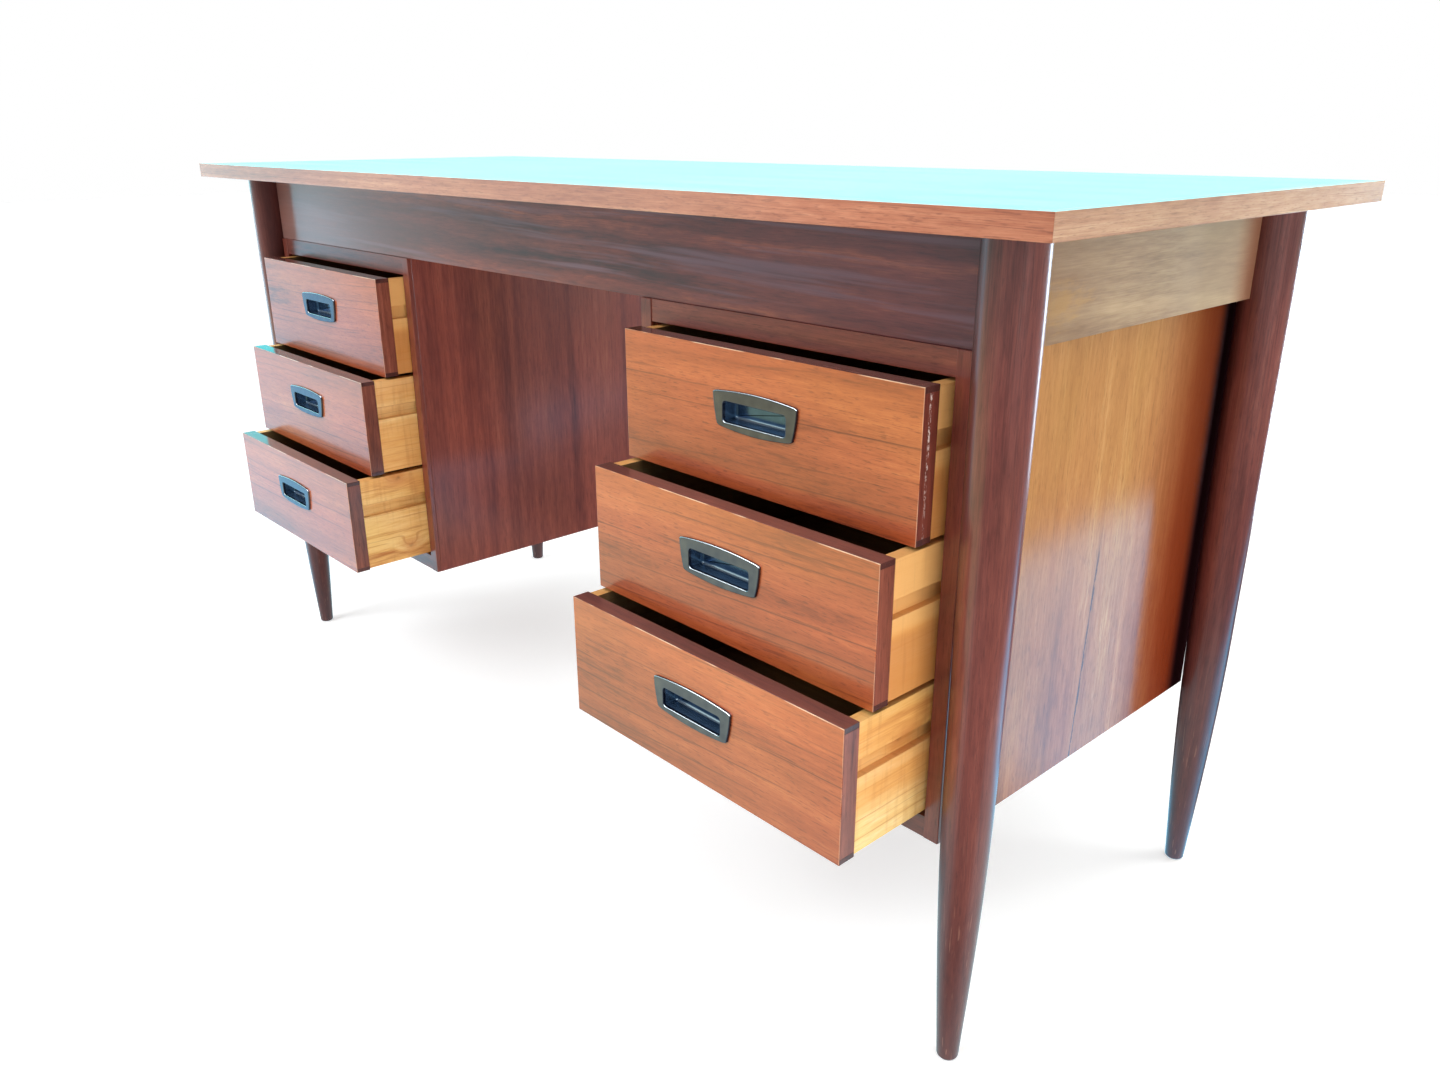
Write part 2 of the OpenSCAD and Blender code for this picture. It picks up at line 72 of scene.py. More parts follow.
TENON_REACH = 18 * MM
LEG_FOOT_R = 9.5 * MM
LEG_SHIN_R = 21.2 * MM
LEG_TAPER_H = 300 * MM
FOOT_RIM_R = 3 * MM
FACE_VENEER = 0.6 * MM
FRONT_LIPPING = 5 * MM
RUNNER_SEAT = 0.3 * MM
GROOVE_H = 16 * MM
GROOVE_DEPTH = 6.5 * MM
PULL_BOTTOM_W = 90 * MM
PULL_ARCH = 3.2 * MM
PULL_BOW = 1 * MM
PULL_CORNER = 0.06
RECESS_W = 75 * MM
RECESS_H = 18.5 * MM
RECESS_R = 3.5 * MM
RECESS_DEPTH = 13.5 * MM
RECESS_DROP = 2 * MM
CUP_WALL = 1.6 * MM
CUP_FIT = 0.1 * MM
CHIP_LINE = 1.5 * MM
LEG_SHADE = 0.14
FLOOR_LIFT = 0.22
FLOOR_WHITE = 0.22
FLOOR_REACH = 14.0
GLARE_HEIGHT = 0.5 * MM
CAMERA_PLACE = (1.0734, -0.8516, 0.7775)
CAMERA_TURN = (47.493, -20.386, -0.251)
CAMERA_LENS = 27.815
SHARP_ANGLE = math.radians(35)
SAME_PLANE = 1e-6
SAME_POINT = 1e-5


# ----- node graphs -----

def rgb(red, green, blue):
    """A colour as the screen shows it, 0 to 255 a channel, as the linear colour that a shader takes."""
    def linear(level):
        share = level / 255
        return share / 12.92 if share <= 0.04045 else ((share + 0.055) / 1.055) ** 2.4
    return (linear(red), linear(green), linear(blue), 1.0)


WHITE = (1.0, 1.0, 1.0, 1.0)


class Graph:
    """The nodes of one material or world, with a short call for each kind of node that is used."""

    def __init__(self, name, owner=None):
        self.owner = owner or bpy.data.materials.new(name)
        self.owner.use_nodes = True
        self.tree = self.owner.node_tree
        self.tree.nodes.clear()

    def add(self, kind, inputs, **settings):
        """A new node. An input is a number, a colour, a vector or another node's output."""
        node = self.tree.nodes.new("ShaderNode" + kind)
        for name, value in settings.items():
            setattr(node, name, value)
        for key, value in inputs.items():
            if isinstance(value, bpy.types.NodeSocket):
                self.tree.links.new(value, node.inputs[key])
            else:
                node.inputs[key].default_value = value
        return node

    def math(self, operation, first, second=0.0):
        return self.add("Math", {0: first, 1: second}, operation=operation).outputs[0]

    def plus(self, first, second):
        return self.math("ADD", first, second)

    def times(self, first, second):
        return self.math("MULTIPLY", first, second)

    def step(self, value, low, high, to_low=0.0, to_high=1.0):
        """Goes smoothly from to_low to to_high as value goes from low to high."""
        inputs = {"Value": value, "From Min": low, "From Max": high, "To Min": to_low, "To Max": to_high}
        return self.add("MapRange", inputs, interpolation_type="SMOOTHSTEP").outputs[0]

    def fall(self, value, low, high, start=1.0):
        """A step from start down to 0."""
        return self.step(value, low, high, start, 0.0)

    def swing(self, value, reach):
        """A value of 0 to 1 turned into an offset of up to half of reach to either side."""
        return self.times(self.plus(value, -0.5), reach)

    def rest(self, share):
        """What is left of 1."""
        return self.plus(1.0, self.times(share, -1.0))

    def length(self, first, second):
        return self.math("SQRT", self.plus(self.times(first, first), self.times(second, second)))

    def vector(self, x, y, z):
        return self.add("CombineXYZ", {0: x, 1: y, 2: z}).outputs[0]

    def split(self, vector):
        return self.add("SeparateXYZ", {0: vector}).outputs

    def spot(self):
        """A point in its own piece's coordinates, in metres."""
        return self.add("TexCoord", {}).outputs["Object"]

    def place(self):
        """The x, y and z of that point."""
        return self.split(self.spot())

    def facing(self):
        """The x, y and z of the surface's normal."""
        return self.split(self.add("NewGeometry", {}).outputs["Normal"])

    def piece(self, output):
        """The piece's Random number or Location."""
        return self.add("ObjectInfo", {}).outputs[output]

    def stretch(self, vector, scale):
        return self.add("VectorMath", {0: vector, 1: scale}, operation="MULTIPLY").outputs[0]

    def noise(self, vector, detail=2.0, roughness=0.5):
        inputs = {"Vector": vector, "Scale": 1.0, "Detail": detail, "Roughness": roughness}
        return self.add("TexNoise", inputs).outputs[0]

    def cloud(self, pace, detail=3.0):
        """A noise over the piece, with pace cycles a metre."""
        return self.noise(self.stretch(self.spot(), (pace, pace, pace)), detail)

    def weave(self, first, pace, second, other_pace, layer, **settings):
        """A noise over two values, each at its own cycles a unit. Every layer has a pattern of its own."""
        place = self.vector(self.times(first, pace), self.times(second, other_pace), layer)
        return self.noise(place, **settings)

    def mix(self, share, first, second, blend="MIX"):
        inputs = {0: share, 6: first, 7: second}
        return self.add("Mix", inputs, data_type="RGBA", blend_type=blend).outputs[2]

    def ramp(self, value, stops):
        """A colour for a value, from (value, colour) stops."""
        node = self.add("ValToRGB", {0: value})
        elements = node.color_ramp.elements
        while len(elements) < len(stops):
            elements.new(1.0)
        for element, (place, colour) in zip(elements, stops):
            element.position = place
            element.color = colour
        return node.outputs[0]

    def bump(self, height, distance):
        """A normal for a height of 0 to 1 that stands for distance metres."""
        return self.add("Bump", {"Height": height, "Distance": distance, "Strength": 1.0}).outputs[0]

    def close(self, **inputs):
        """Ends the graph in one principled shader. Input names have _ for spaces."""
        named = {name.replace("_", " "): value for name, value in inputs.items()}
        shader = self.add("BsdfPrincipled", named)
        self.add("OutputMaterial", {0: shader.outputs[0]})
        return self.owner


# ----- wood -----

def grain_space(g, order):
    """Object coordinates put in the order along the grain, across it, into the board.

    Each piece is cut from another part of the wood, so its number shifts the pattern."""
    place = g.place()
    piece = g.piece("Random")
    along, across, deep = (place["xyz".index(axis)] for axis in order)
    return g.plus(along, g.times(piece, 9.0)), g.plus(across, g.times(piece, 4.0)), deep


def wandering(g, space, reach):
    """How far the grain wanders sideways at a point, in metres, up to about reach."""
    along, across, deep = space
    slow = g.weave(along, 1.3, across, 3.0, deep, detail=1.0)
    fine = g.weave(along, 9.0, across, 22.0, deep, detail=1.0)
    return g.plus(g.swing(slow, 2 * reach), g.swing(fine, 0.003))


def straight_rings(g, space, reach, density, lean=0.0):
    """Ring number of straight grain that wanders a little and leans by lean metres a metre."""
    off = g.plus(g.plus(space[1], wandering(g, space, reach)), g.times(space[0], lean))
    return g.times(off, density)


def arched_rings(g, space, reach, density, middle, rise, slope):
    """Ring number of flat-cut grain, whose rings close in arches along the line across = middle."""
    off = g.plus(g.plus(space[1], wandering(g, space, reach)), -middle)
    return g.times(g.plus(g.length(off, rise), g.times(space[0], slope)), density)


# Noise cycles a metre along the grain, across it and into the board.
CLOUD = (2.6, 8.0, 8.0)
PATCH = (9.0, 34.0, 34.0)
FIGURE = (38.0, 260.0, 260.0)
FIBRE = (30.0, 900.0, 900.0)
FLECK = (70.0, 620.0, 620.0)
PORE = (140.0, 1500.0, 1500.0)
RED_TINT = (1.0, 0.86, 0.80, 1.0)
PLAIN_TINT = (1.0, 0.97, 0.95, 1.0)
GOLD_TINT = (1.0, 1.10, 0.92, 1.0)


def wood(g, space, rings, tones, bands=0.5, lines=0.3, streaks=0.35, ticks=0.3, mottle=0.5, hue=0.5):
    """Colour and height of wood. Tones run from the darkest late wood to the lightest early wood.

    Bands are the broad changes from ring to ring, lines the thin late wood, streaks long dark marks
    along the rings, ticks the short dark flecks of open pores, mottle slow changes over the board
    and hue how far it turns from golden to red in places."""
    along, across, deep = space
    here = g.vector(along, across, deep)
    broad = g.weave(rings, 0.45, along, 1.1, 0.0, roughness=0.55)
    cloud, patch, figure = (g.noise(g.stretch(here, scale)) for scale in (CLOUD, PATCH, FIGURE))
    fibre = g.noise(g.stretch(here, FIBRE), roughness=0.6)
    level = 0.5
    for noise, reach in ((broad, 1.3 * bands), (cloud, mottle), (patch, 0.4 * mottle), (figure, 0.40),
                         (fibre, 0.40)):
        level = g.plus(level, g.swing(noise, reach))
    stops = [(0.10 + 0.80 * i / (len(tones) - 1), colour) for i, colour in enumerate(tones)]
    colour = g.ramp(level, stops)
    turn = g.noise(g.vector(g.times(along, 3.5), g.times(across, 11.0), g.plus(deep, 7.0)))
    tint = g.ramp(turn, [(0.34, RED_TINT), (0.50, PLAIN_TINT), (0.66, GOLD_TINT)])
    colour = g.mix(hue, colour, tint, "MULTIPLY")
    share = g.math("FRACT", rings)
    late = g.times(g.step(share, 0.74, 0.93), g.fall(share, 0.95, 1.0))
    seen = g.step(g.weave(along, 2.2, rings, 0.9, 5.0), 0.46, 0.62)
    colour = g.mix(g.times(g.times(late, seen), lines), colour, tones[0])
    long_mark = g.weave(along, 7.0, rings, 2.3, 3.0, detail=3.0, roughness=0.6)
    colour = g.mix(g.times(g.step(long_mark, 0.60, 0.69), streaks), colour, tones[0])
    fleck = g.step(g.noise(g.stretch(here, FLECK), roughness=0.6), 0.56, 0.68)
    colour = g.mix(g.times(fleck, ticks), colour, tones[0])
    pore = g.step(g.noise(g.stretch(here, PORE), detail=1.0), 0.56, 0.68)
    colour = g.mix(g.times(pore, 0.5 * ticks), colour, tones[0])
    height = g.plus(g.times(fibre, 0.35), g.times(g.math("MAXIMUM", pore, fleck), -0.9))
    return colour, height


def lacquered(g, colour, height, roughness=0.5, coat_roughness=0.14, relief=0.03 * MM, gloss=0.25, coat=1.0):
    """Wood under clear lacquer: the pores stay a little open. The wood itself has little gloss."""
    return g.close(Base_Color=colour, Roughness=roughness, Specular_IOR_Level=gloss,
                   Normal=g.bump(height, relief), Coat_Weight=coat, Coat_Roughness=coat_roughness,
                   Coat_Normal=g.bump(height, 0.3 * relief))


def straight_wood(name, order, reach, density, tones, lean=0.0, **looks):
    """The graph, colour and height of a straight-grained wood."""
    g = Graph(name)
    space = grain_space(g, order)
    rings = straight_rings(g, space, reach, density, lean)
    return (g, *wood(g, space, rings, tones, **looks))


def top_veneer():
    """Six leaves side by side along the desk, each the mirror image of the next."""
    g = Graph("top_veneer")
    space = grain_space(g, "xyz")
    leaf_w = 87 * MM
    leaf = g.math("FLOOR", g.times(space[1], 1 / leaf_w))
    matched = (g.plus(space[0], g.times(leaf, 0.013)), g.math("PINGPONG", space[1], leaf_w), space[2])
    rings = arched_rings(g, matched, 0.006, 190.0, 0.045, 0.010, 0.050)
    tones = [rgb(94, 50, 30), rgb(146, 87, 52), rgb(174, 115, 73), rgb(193, 141, 95)]
    colour, height = wood(g, matched, rings, tones, bands=0.7, lines=0.5)
    joint = g.math("PINGPONG", space[1], leaf_w / 2)
    colour = g.mix(g.fall(joint, 0.1 * MM, 0.4 * MM, 0.5), colour, tones[0])
    return lacquered(g, colour, height, roughness=0.42, coat_roughness=0.06, relief=0.02 * MM)


def lipping_wood(name, order, tones, chips=0.0, pale_painted_light=0.0):
    """Straight-grained solid teak.

    Chips are pale nicks down the middle of an upright lipping's face. The last share is painted sheen: how
    far a level lipping turns pale towards its left end. Both go from 0 to 1."""
    g, colour, height = straight_wood(name, order, 0.004, 330.0, tones, 0.01, streaks=0.5, ticks=0.4,
                                      mottle=0.7)
    x, y, z = g.place()
    if pale_painted_light > 0:
        # Painted sheen: the lipping turns pale towards its left end.
        colour = g.mix(g.fall(x, 0.25, 0.60, pale_painted_light), colour, rgb(190, 176, 170))
    if chips > 0:
        drift = g.swing(g.noise(g.vector(0.0, 0.0, g.times(z, 25.0))), 3 * MM)
        off = g.math("ABSOLUTE", g.plus(g.plus(y, drift), CHIP_LINE))
        nick = g.noise(g.vector(0.0, g.times(y, 420.0), g.times(z, 230.0)), detail=3.0, roughness=0.7)
        fading = g.step(z, -50 * MM, 30 * MM, 0.25 * chips, chips)
        shown = g.times(g.step(nick, 0.50, 0.55), g.times(g.fall(off, 0.5 * MM, 1.8 * MM), fading))
        colour = g.mix(shown, colour, rgb(232, 214, 200))
    return lacquered(g, colour, height, coat_roughness=0.16)


EDGE_TONES = [rgb(98, 49, 33), rgb(149, 84, 56), rgb(177, 112, 80), rgb(200, 142, 106)]
SIDE_EDGE_TONES = [rgb(114, 76, 53), rgb(152, 110, 82), rgb(174, 137, 105), rgb(194, 164, 131)]
DARK_TONES = [rgb(52, 20, 16), rgb(98, 42, 32), rgb(122, 56, 42), rgb(146, 76, 56)]
UPRIGHT_TONES = [rgb(62, 28, 20), rgb(112, 57, 43), rgb(140, 75, 56), rgb(168, 101, 78)]
LEVEL_TONES = [rgb(36, 16, 15), rgb(66, 31, 27), rgb(84, 43, 36), rgb(108, 60, 50)]


def leg_teak():
    """Turned teak: the rings are those of a log whose heart lies beside the leg.

    The foot is darker and worn with pale scratches, and the side towards the pedestal has painted shade and
    no gloss."""
    g = Graph("leg_teak")
    x, y, z = g.place()
    piece = g.piece("Random")
    space = (g.plus(z, g.times(piece, 9.0)), y, x)
    drift = wandering(g, space, 0.006)
    east = g.plus(g.plus(x, 0.055), drift)
    north = g.plus(g.plus(y, 0.034), g.times(drift, 0.6))
    rings = g.times(g.plus(g.length(east, north), g.times(z, 0.010)), 260.0)
    tones = [rgb(54, 22, 20), rgb(91, 40, 34), rgb(111, 54, 45), rgb(135, 75, 61)]
    colour, height = wood(g, space, rings, tones, bands=0.45, lines=0.35, streaks=0.4, mottle=0.7)
    scratch = g.noise(g.vector(g.times(x, 700.0), g.times(y, 700.0), g.times(z, 9.0)), detail=1.0)
    low = g.step(z, 0.02, 0.30, 1.0, 0.15)
    worn = g.times(g.step(scratch, 0.66, 0.74), g.times(low, 0.35))
    # Darker towards the foot.
    colour = g.mix(g.fall(z, 0.05, 0.42, 0.45), colour, tones[0])
    colour = g.mix(worn, colour, rgb(170, 118, 96))
    # Painted shade on the side towards the pedestal, above the pedestal's bottom. The coat is left off there
    # too.
    outward = g.math("SIGN", g.split(g.piece("Location"))[0])
    inner = g.times(g.fall(g.times(x, outward), -0.020, -0.003), g.step(z, 0.16, 0.24))
    colour = g.mix(g.times(inner, 0.6), colour, rgb(34, 14, 18))
    coat = g.times(g.rest(inner), g.step(z, 0.05, 0.45, 0.75, 1.0))
    return lacquered(g, colour, height, roughness=0.45, coat_roughness=0.22, coat=coat)


def apron_front_veneer():
    """Dark flat-cut veneer: long feathered bands, some reddish and some bluish grey, with painted sheen
    towards the left end and painted shade towards the right end.
    """
    g = Graph("apron_front_veneer")
    space = grain_space(g, "xzy")
    along, across = space[:2]
    warp = g.weave(along, 2.0, across, 7.0, 2.0)
    rings = g.times(g.plus(g.plus(across, g.times(warp, 0.028)), g.times(along, 0.012)), 95.0)
    tones = [rgb(40, 16, 16), rgb(82, 35, 30), rgb(118, 54, 42), rgb(164, 86, 56)]
    colour, height = wood(g, space, rings, tones, bands=1.1, lines=0.25, streaks=0.25, mottle=0.6, hue=0.7)
    grey = g.weave(rings, 0.80, along, 2.2, 8.0, detail=3.0, roughness=0.6)
    colour = g.mix(g.step(grey, 0.50, 0.66, 0.0, 0.65), colour, rgb(114, 86, 96))
    x = g.place()[0]
    # Painted sheen: paler and greyer towards the left end.
    colour = g.mix(g.fall(x, -0.60, 0.05, 0.7), colour, rgb(150, 108, 98))
    # Painted shade: darker towards the right end.
    colour = g.mix(g.step(x, 0.10, 0.60, 0.0, 0.4), colour, rgb(84, 42, 58))
    return lacquered(g, colour, height, roughness=0.42, coat_roughness=0.12)


def apron_side_veneer():
    """Pale golden veneer whose grain flows along the apron, with a brighter golden patch.

    Its upper edge has the painted shade of the top's overhang, and it is darker towards its front end.
    Towards the rear it turns pale with painted sheen, and at its rear end it has a painted reflection of the
    rear leg."""
    g = Graph("apron_side_veneer")
    space = grain_space(g, "yzx")
    along, across = space[:2]
    rings = straight_rings(g, space, 0.030, 70.0, 0.05)
    tones = [rgb(108, 82, 58), rgb(148, 118, 85), rgb(176, 147, 108), rgb(200, 171, 128)]
    colour, height = wood(g, space, rings, tones, bands=0.7, lines=0.15, streaks=0.15, ticks=0.08,
                          mottle=0.9, hue=0.35)
    gold = g.weave(along, 4.0, across, 20.0, 4.0, detail=1.0)
    colour = g.mix(g.step(gold, 0.54, 0.72, 0.0, 0.3), colour, rgb(198, 156, 92))
    y, z = g.place()[1:]
    aside = g.times(g.plus(y, 142 * MM), 1 / (40 * MM))
    above = g.times(g.plus(z, 14 * MM), 1 / (17 * MM))
    torn = g.weave(y, 45.0, z, 160.0, 9.0, detail=3.0, roughness=0.6)
    off = g.plus(g.length(aside, above), g.swing(torn, 2.4))
    colour = g.mix(g.fall(off, 0.1, 1.2, 0.6), colour, rgb(208, 156, 72))
    # Painted shade of the top's overhang along the upper edge.
    colour = g.mix(g.step(z, 14 * MM, 38 * MM, 0.0, 0.45), colour, rgb(104, 80, 62))
    # Darker towards the front end.
    colour = g.mix(g.fall(y, -190 * MM, -20 * MM, 0.62), colour, rgb(122, 82, 44))
    # Painted sheen: paler and greyer towards the rear.
    colour = g.mix(g.step(y, -20 * MM, 130 * MM, 0.0, 0.35), colour, rgb(190, 176, 156))
    # Painted reflection of the rear leg at the rear end.
    colour = g.mix(g.step(y, 140 * MM, 186 * MM, 0.0, 0.85), colour, rgb(142, 86, 58))
    return lacquered(g, colour, height, roughness=0.42, coat_roughness=0.12)


def outer_side_veneer(half_deep):
    """Vertical grain with painted light that makes it golden above, and painted shadow of the rear leg that
    turns it red and then black by that leg.

    The black part has no gloss. One long shake runs up the right-hand panel. Half_deep is half of
    the panel's depth."""
    tones = [rgb(84, 40, 23), rgb(148, 86, 47), rgb(177, 116, 69), rgb(203, 152, 98)]
    g, colour, height = straight_wood("outer_side_veneer", "zyx", 0.008, 150.0, tones, bands=0.45,
                                      lines=0.25, streaks=0.3, ticks=0.5, mottle=0.8, hue=0.7)
    y, z = g.place()[1:]
    # Painted light: the upper part is paler and more golden.
    pale_painted_light = g.step(z, -0.16, 0.20)
    colour = g.mix(g.times(pale_painted_light, 0.30), g.mix(0.25, colour, rgb(110, 66, 46)), rgb(206, 164, 100))
    face = g.step(g.math("ABSOLUTE", g.facing()[0]), 0.5, 0.9)
    # Painted shadow of the rear leg: redder towards the rear edge of the outer face.
    shaded = g.times(face, g.step(y, half_deep - 1.25 * LEG_SHADE, half_deep - 0.30 * LEG_SHADE))
    colour = g.mix(g.times(shaded, 0.9), colour, rgb(112, 38, 16))
    # Painted shade: a black strip by the rear leg, where the coat is also left off.
    painted_black_shadow = g.times(face, g.step(y, half_deep - 0.32 * LEG_SHADE, half_deep - 0.14 * LEG_SHADE))
    colour = g.mix(painted_black_shadow, colour, rgb(34, 14, 16))
    wobble = g.noise(g.vector(0.0, 0.0, g.times(z, 38.0)), detail=3.0, roughness=0.65)
    line = g.plus(g.plus(g.times(z, 0.054), -3 * MM), g.swing(wobble, 5 * MM))
    off = g.math("ABSOLUTE", g.math("SUBTRACT", y, line))
    width = g.step(wobble, 0.35, 0.65, 0.5 * MM, 1.8 * MM)
    shake = g.times(g.math("LESS_THAN", off, width), g.fall(z, -0.02, 0.03))
    right = g.step(g.split(g.piece("Location"))[0], 0.0, 0.1)
    colour = g.mix(g.times(g.times(shake, right), 0.85), colour, rgb(70, 40, 32))
    return lacquered(g, colour, height, coat_roughness=0.11, gloss=0.0, coat=g.rest(painted_black_shadow))


def inner_side_veneer():
    """Quarter-cut ribbon grain, vertical."""
    tones = [rgb(76, 30, 24), rgb(120, 54, 42), rgb(144, 70, 54), rgb(166, 92, 70)]
    g, colour, height = straight_wood("inner_side_veneer", "zyx", 0.004, 120.0, tones, bands=0.8,
                                      lines=0.2, streaks=0.2, mottle=0.6)
    return lacquered(g, colour, height, coat_roughness=0.16, coat=0.65)


def front_veneer(half_w, half_h):
    """Horizontal grain in gentle curves, with sparse dark lines, painted shade low down, painted light high
    up and painted highlights on its edges.
    """
    tones = [rgb(76, 30, 16), rgb(145, 67, 31), rgb(172, 87, 45), rgb(193, 110, 62)]
    g, colour, height = straight_wood("front_veneer", "xzy", 0.022, 105.0, tones, -0.03, bands=0.6,
                                      lines=0.7, streaks=0.48, ticks=0.48, mottle=0.9, hue=1.0)
    x, _, z = g.place()
    # Painted shade: the lower part is darker and redder.
    colour = g.mix(g.fall(z, -half_h, 0.4 * half_h, 0.28), colour, rgb(116, 42, 18))
    # Painted light: the upper part is lighter.
    colour = g.mix(g.step(z, 0.1 * half_h, half_h, 0.0, 0.22), colour, rgb(200, 116, 58))
    patchy = g.noise(g.vector(g.times(x, 25.0), 0.0, g.times(z, 25.0)))
    # Painted highlight along the upper and upright arrises, broken into patches.
    upper = g.step(z, half_h - 0.9 * MM, half_h - 0.2 * MM)
    upright = g.step(g.math("ABSOLUTE", x), half_w - 0.8 * MM, half_w - 0.2 * MM, 0.0, 0.34)
    painted_arris_highlight = g.times(g.math("MAXIMUM", upper, upright), g.step(patchy, 0.38, 0.56))
    colour = g.mix(g.times(painted_arris_highlight, 0.8), colour, rgb(240, 206, 172))
    return lacquered(g, colour, height, coat_roughness=0.13)


def front_back_veneer():
    return lacquered(*straight_wood("front_back_veneer", "xzy", 0.006, 170.0, DARK_TONES))


def pine(name, order, painted_inside_shade=0.0, painted_light_and_shade=0.0):
    """Bare softwood with pale early wood, brown late wood and small dark knots.

    The first share darkens it evenly, as painted shade inside a drawer. The second widens its orange
    heartwood and darkens the board's lower half as painted shade, and lightens its upper half as painted
    light. Both go from 0 to 1."""
    g = Graph(name)
    space = grain_space(g, order)
    along, across = space[:2]
    cells = g.add("TexVoronoi", {"Vector": g.vector(g.times(along, 11.0), g.times(across, 17.0), 0.0),
                                 "Scale": 1.0}, feature="F1")
    near = cells.outputs["Distance"]
    pick = g.step(g.split(cells.outputs["Color"])[0], 0.42, 0.46)
    swirl = g.times(g.fall(near, 0.0, 0.35, 0.02), pick)
    rings = g.times(g.plus(g.plus(across, wandering(g, space, 0.012)), swirl), 110.0)
    tones = [rgb(178, 106, 46), rgb(226, 172, 98), rgb(240, 200, 132), rgb(250, 226, 174)]
    colour, height = wood(g, space, rings, tones, bands=0.8, lines=0.55, streaks=0.4, ticks=0.15, mottle=0.9,
                          hue=0.5)
    heart = g.weave(along, 3.0, across, 9.0, 4.0, detail=1.0)
    # The second share widens the darker orange heartwood, as painted shade.
    first = 0.48 - 0.3 * painted_light_and_shade
    colour = g.mix(g.step(heart, first, first + 0.12, 0.0, 0.55 + 0.3 * painted_light_and_shade), colour, rgb(222, 148, 74))
    saw = g.weave(along, 160.0, across, 12.0, 6.0)
    colour = g.mix(g.step(saw, 0.50, 0.70, 0.0, 0.22), colour, tones[0])
    rough = g.weave(along, 90.0, across, 90.0, 2.0)
    edge = g.plus(near, g.swing(rough, 0.10))
    halo = g.times(g.fall(edge, 0.08, 0.30, 0.6), pick)
    colour = g.mix(halo, colour, rgb(190, 112, 52))
    knot = g.times(g.fall(edge, 0.06, 0.12), pick)
    colour = g.mix(g.times(knot, 0.85), colour, rgb(104, 52, 24))
    z = g.place()[2]
    # Painted shade on the board's lower half and painted light on its upper half.
    colour = g.mix(g.fall(z, -12 * MM, 0.0, 0.35 * painted_light_and_shade), colour, rgb(166, 86, 34))
    colour = g.mix(g.step(z, -8 * MM, 4 * MM, 0.0, 0.22 * painted_light_and_shade), colour, rgb(250, 212, 144))
    # Painted shade: evenly darker, for pine inside a drawer.
    colour = g.mix(painted_inside_shade, colour, rgb(46, 24, 14))
    return g.close(Base_Color=colour, Roughness=0.6, Normal=g.bump(height, 0.05 * MM))


def plywood():
    tones = [rgb(120, 78, 44), rgb(156, 108, 64), rgb(176, 128, 80)]
    g, colour, height = straight_wood("plywood", "xyz", 0.010, 90.0, tones)
    return g.close(Base_Color=colour, Roughness=0.55, Normal=g.bump(height, 0.04 * MM))


# ----- metal -----

def bronze():
    """Patinated metal, bluer in the cup, with a painted highlight on the arrises that face up and forward.
    """
    g = Graph("bronze")
    cloud = g.cloud(60.0)
    grain = g.cloud(1500.0, detail=1.0)
    depth = g.place()[1]
    flange = g.ramp(cloud, [(0.30, rgb(80, 80, 98)), (0.52, rgb(92, 92, 108)),
                            (0.72, rgb(104, 102, 114))])
    cup = g.ramp(cloud, [(0.30, rgb(66, 90, 118)), (0.70, rgb(84, 110, 138))])
    colour = g.mix(g.step(depth, 0.2 * MM, 1.2 * MM), flange, cup)
    # Painted highlight on the arrises that face up and forward.
    facing = g.facing()
    painted_arris_highlight = g.times(g.step(facing[2], 0.25, 0.5), g.fall(facing[1], -0.5, -0.25))
    colour = g.mix(g.times(painted_arris_highlight, 0.8), colour, rgb(206, 212, 216))
    roughness = g.step(g.plus(g.times(cloud, 0.8), g.times(grain, 0.2)), 0.3, 0.7, 0.14, 0.22)
    metallic = g.step(depth, 0.2 * MM, 1.2 * MM, 1.0, 0.8)
    return g.close(Base_Color=colour, Metallic=metallic, Roughness=roughness,
                   Normal=g.bump(grain, 0.01 * MM))


def steel():
    g = Graph("steel")
    cloud = g.cloud(400.0)
    colour = g.ramp(cloud, [(0.3, rgb(150, 150, 146)), (0.7, rgb(196, 196, 190))])
    return g.close(Base_Color=colour, Metallic=1.0, Roughness=g.step(cloud, 0.3, 0.7, 0.25, 0.42))


def floor_paint():
    g = Graph("floor_paint")
    colour = g.ramp(g.cloud(2.0), [(0.3, rgb(232, 232, 230)), (0.7, rgb(238, 238, 236))])
    seen = g.add("LightPath", {}).outputs["Is Camera Ray"]
    return g.close(Base_Color=colour, Roughness=0.9, Specular_IOR_Level=0.0, Emission_Color=WHITE,
                   Emission_Strength=g.plus(g.times(seen, FLOOR_WHITE), FLOOR_LIFT))


# ----- meshes -----

def to_object(name, bm, material):
    """A new object in the scene that has the mesh and one material."""
    mesh = bpy.data.meshes.new(name)
    bm.to_mesh(mesh)
    bm.free()
    mesh.materials.append(material)
    thing = bpy.data.objects.new(name, mesh)
    bpy.context.scene.collection.objects.link(thing)
    return thing


def make(name, bm, place, material, body, replaces=(), bevel=0.0, steps=2):
    """A piece from a mesh that is measured from place. Its edges are rounded by bevel."""
    bmesh.ops.recalc_face_normals(bm, faces=bm.faces)
    if bevel == 0:
        for edge in bm.edges:
            edge.smooth = edge.calc_face_angle(0.0) < SHARP_ANGLE
    piece = to_object(name, bm, material)
    for polygon in piece.data.polygons:
        polygon.use_smooth = True
    piece.location = place
    soften(piece, bevel, steps)
    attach(piece, body)
    if replaces:
        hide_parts(*replaces)
    return piece


def soften(piece, bevel, steps=2):
    """Rounds a piece's sharp edges and keeps its flat faces flat."""
    if bevel > 0:
        modifier = piece.modifiers.new("arris", "BEVEL")
        modifier.width = bevel
        modifier.segments = steps
        modifier.limit_method = "ANGLE"
        modifier.angle_limit = SHARP_ANGLE
    normals = piece.modifiers.new("normals", "WEIGHTED_NORMAL")
    normals.keep_sharp = True


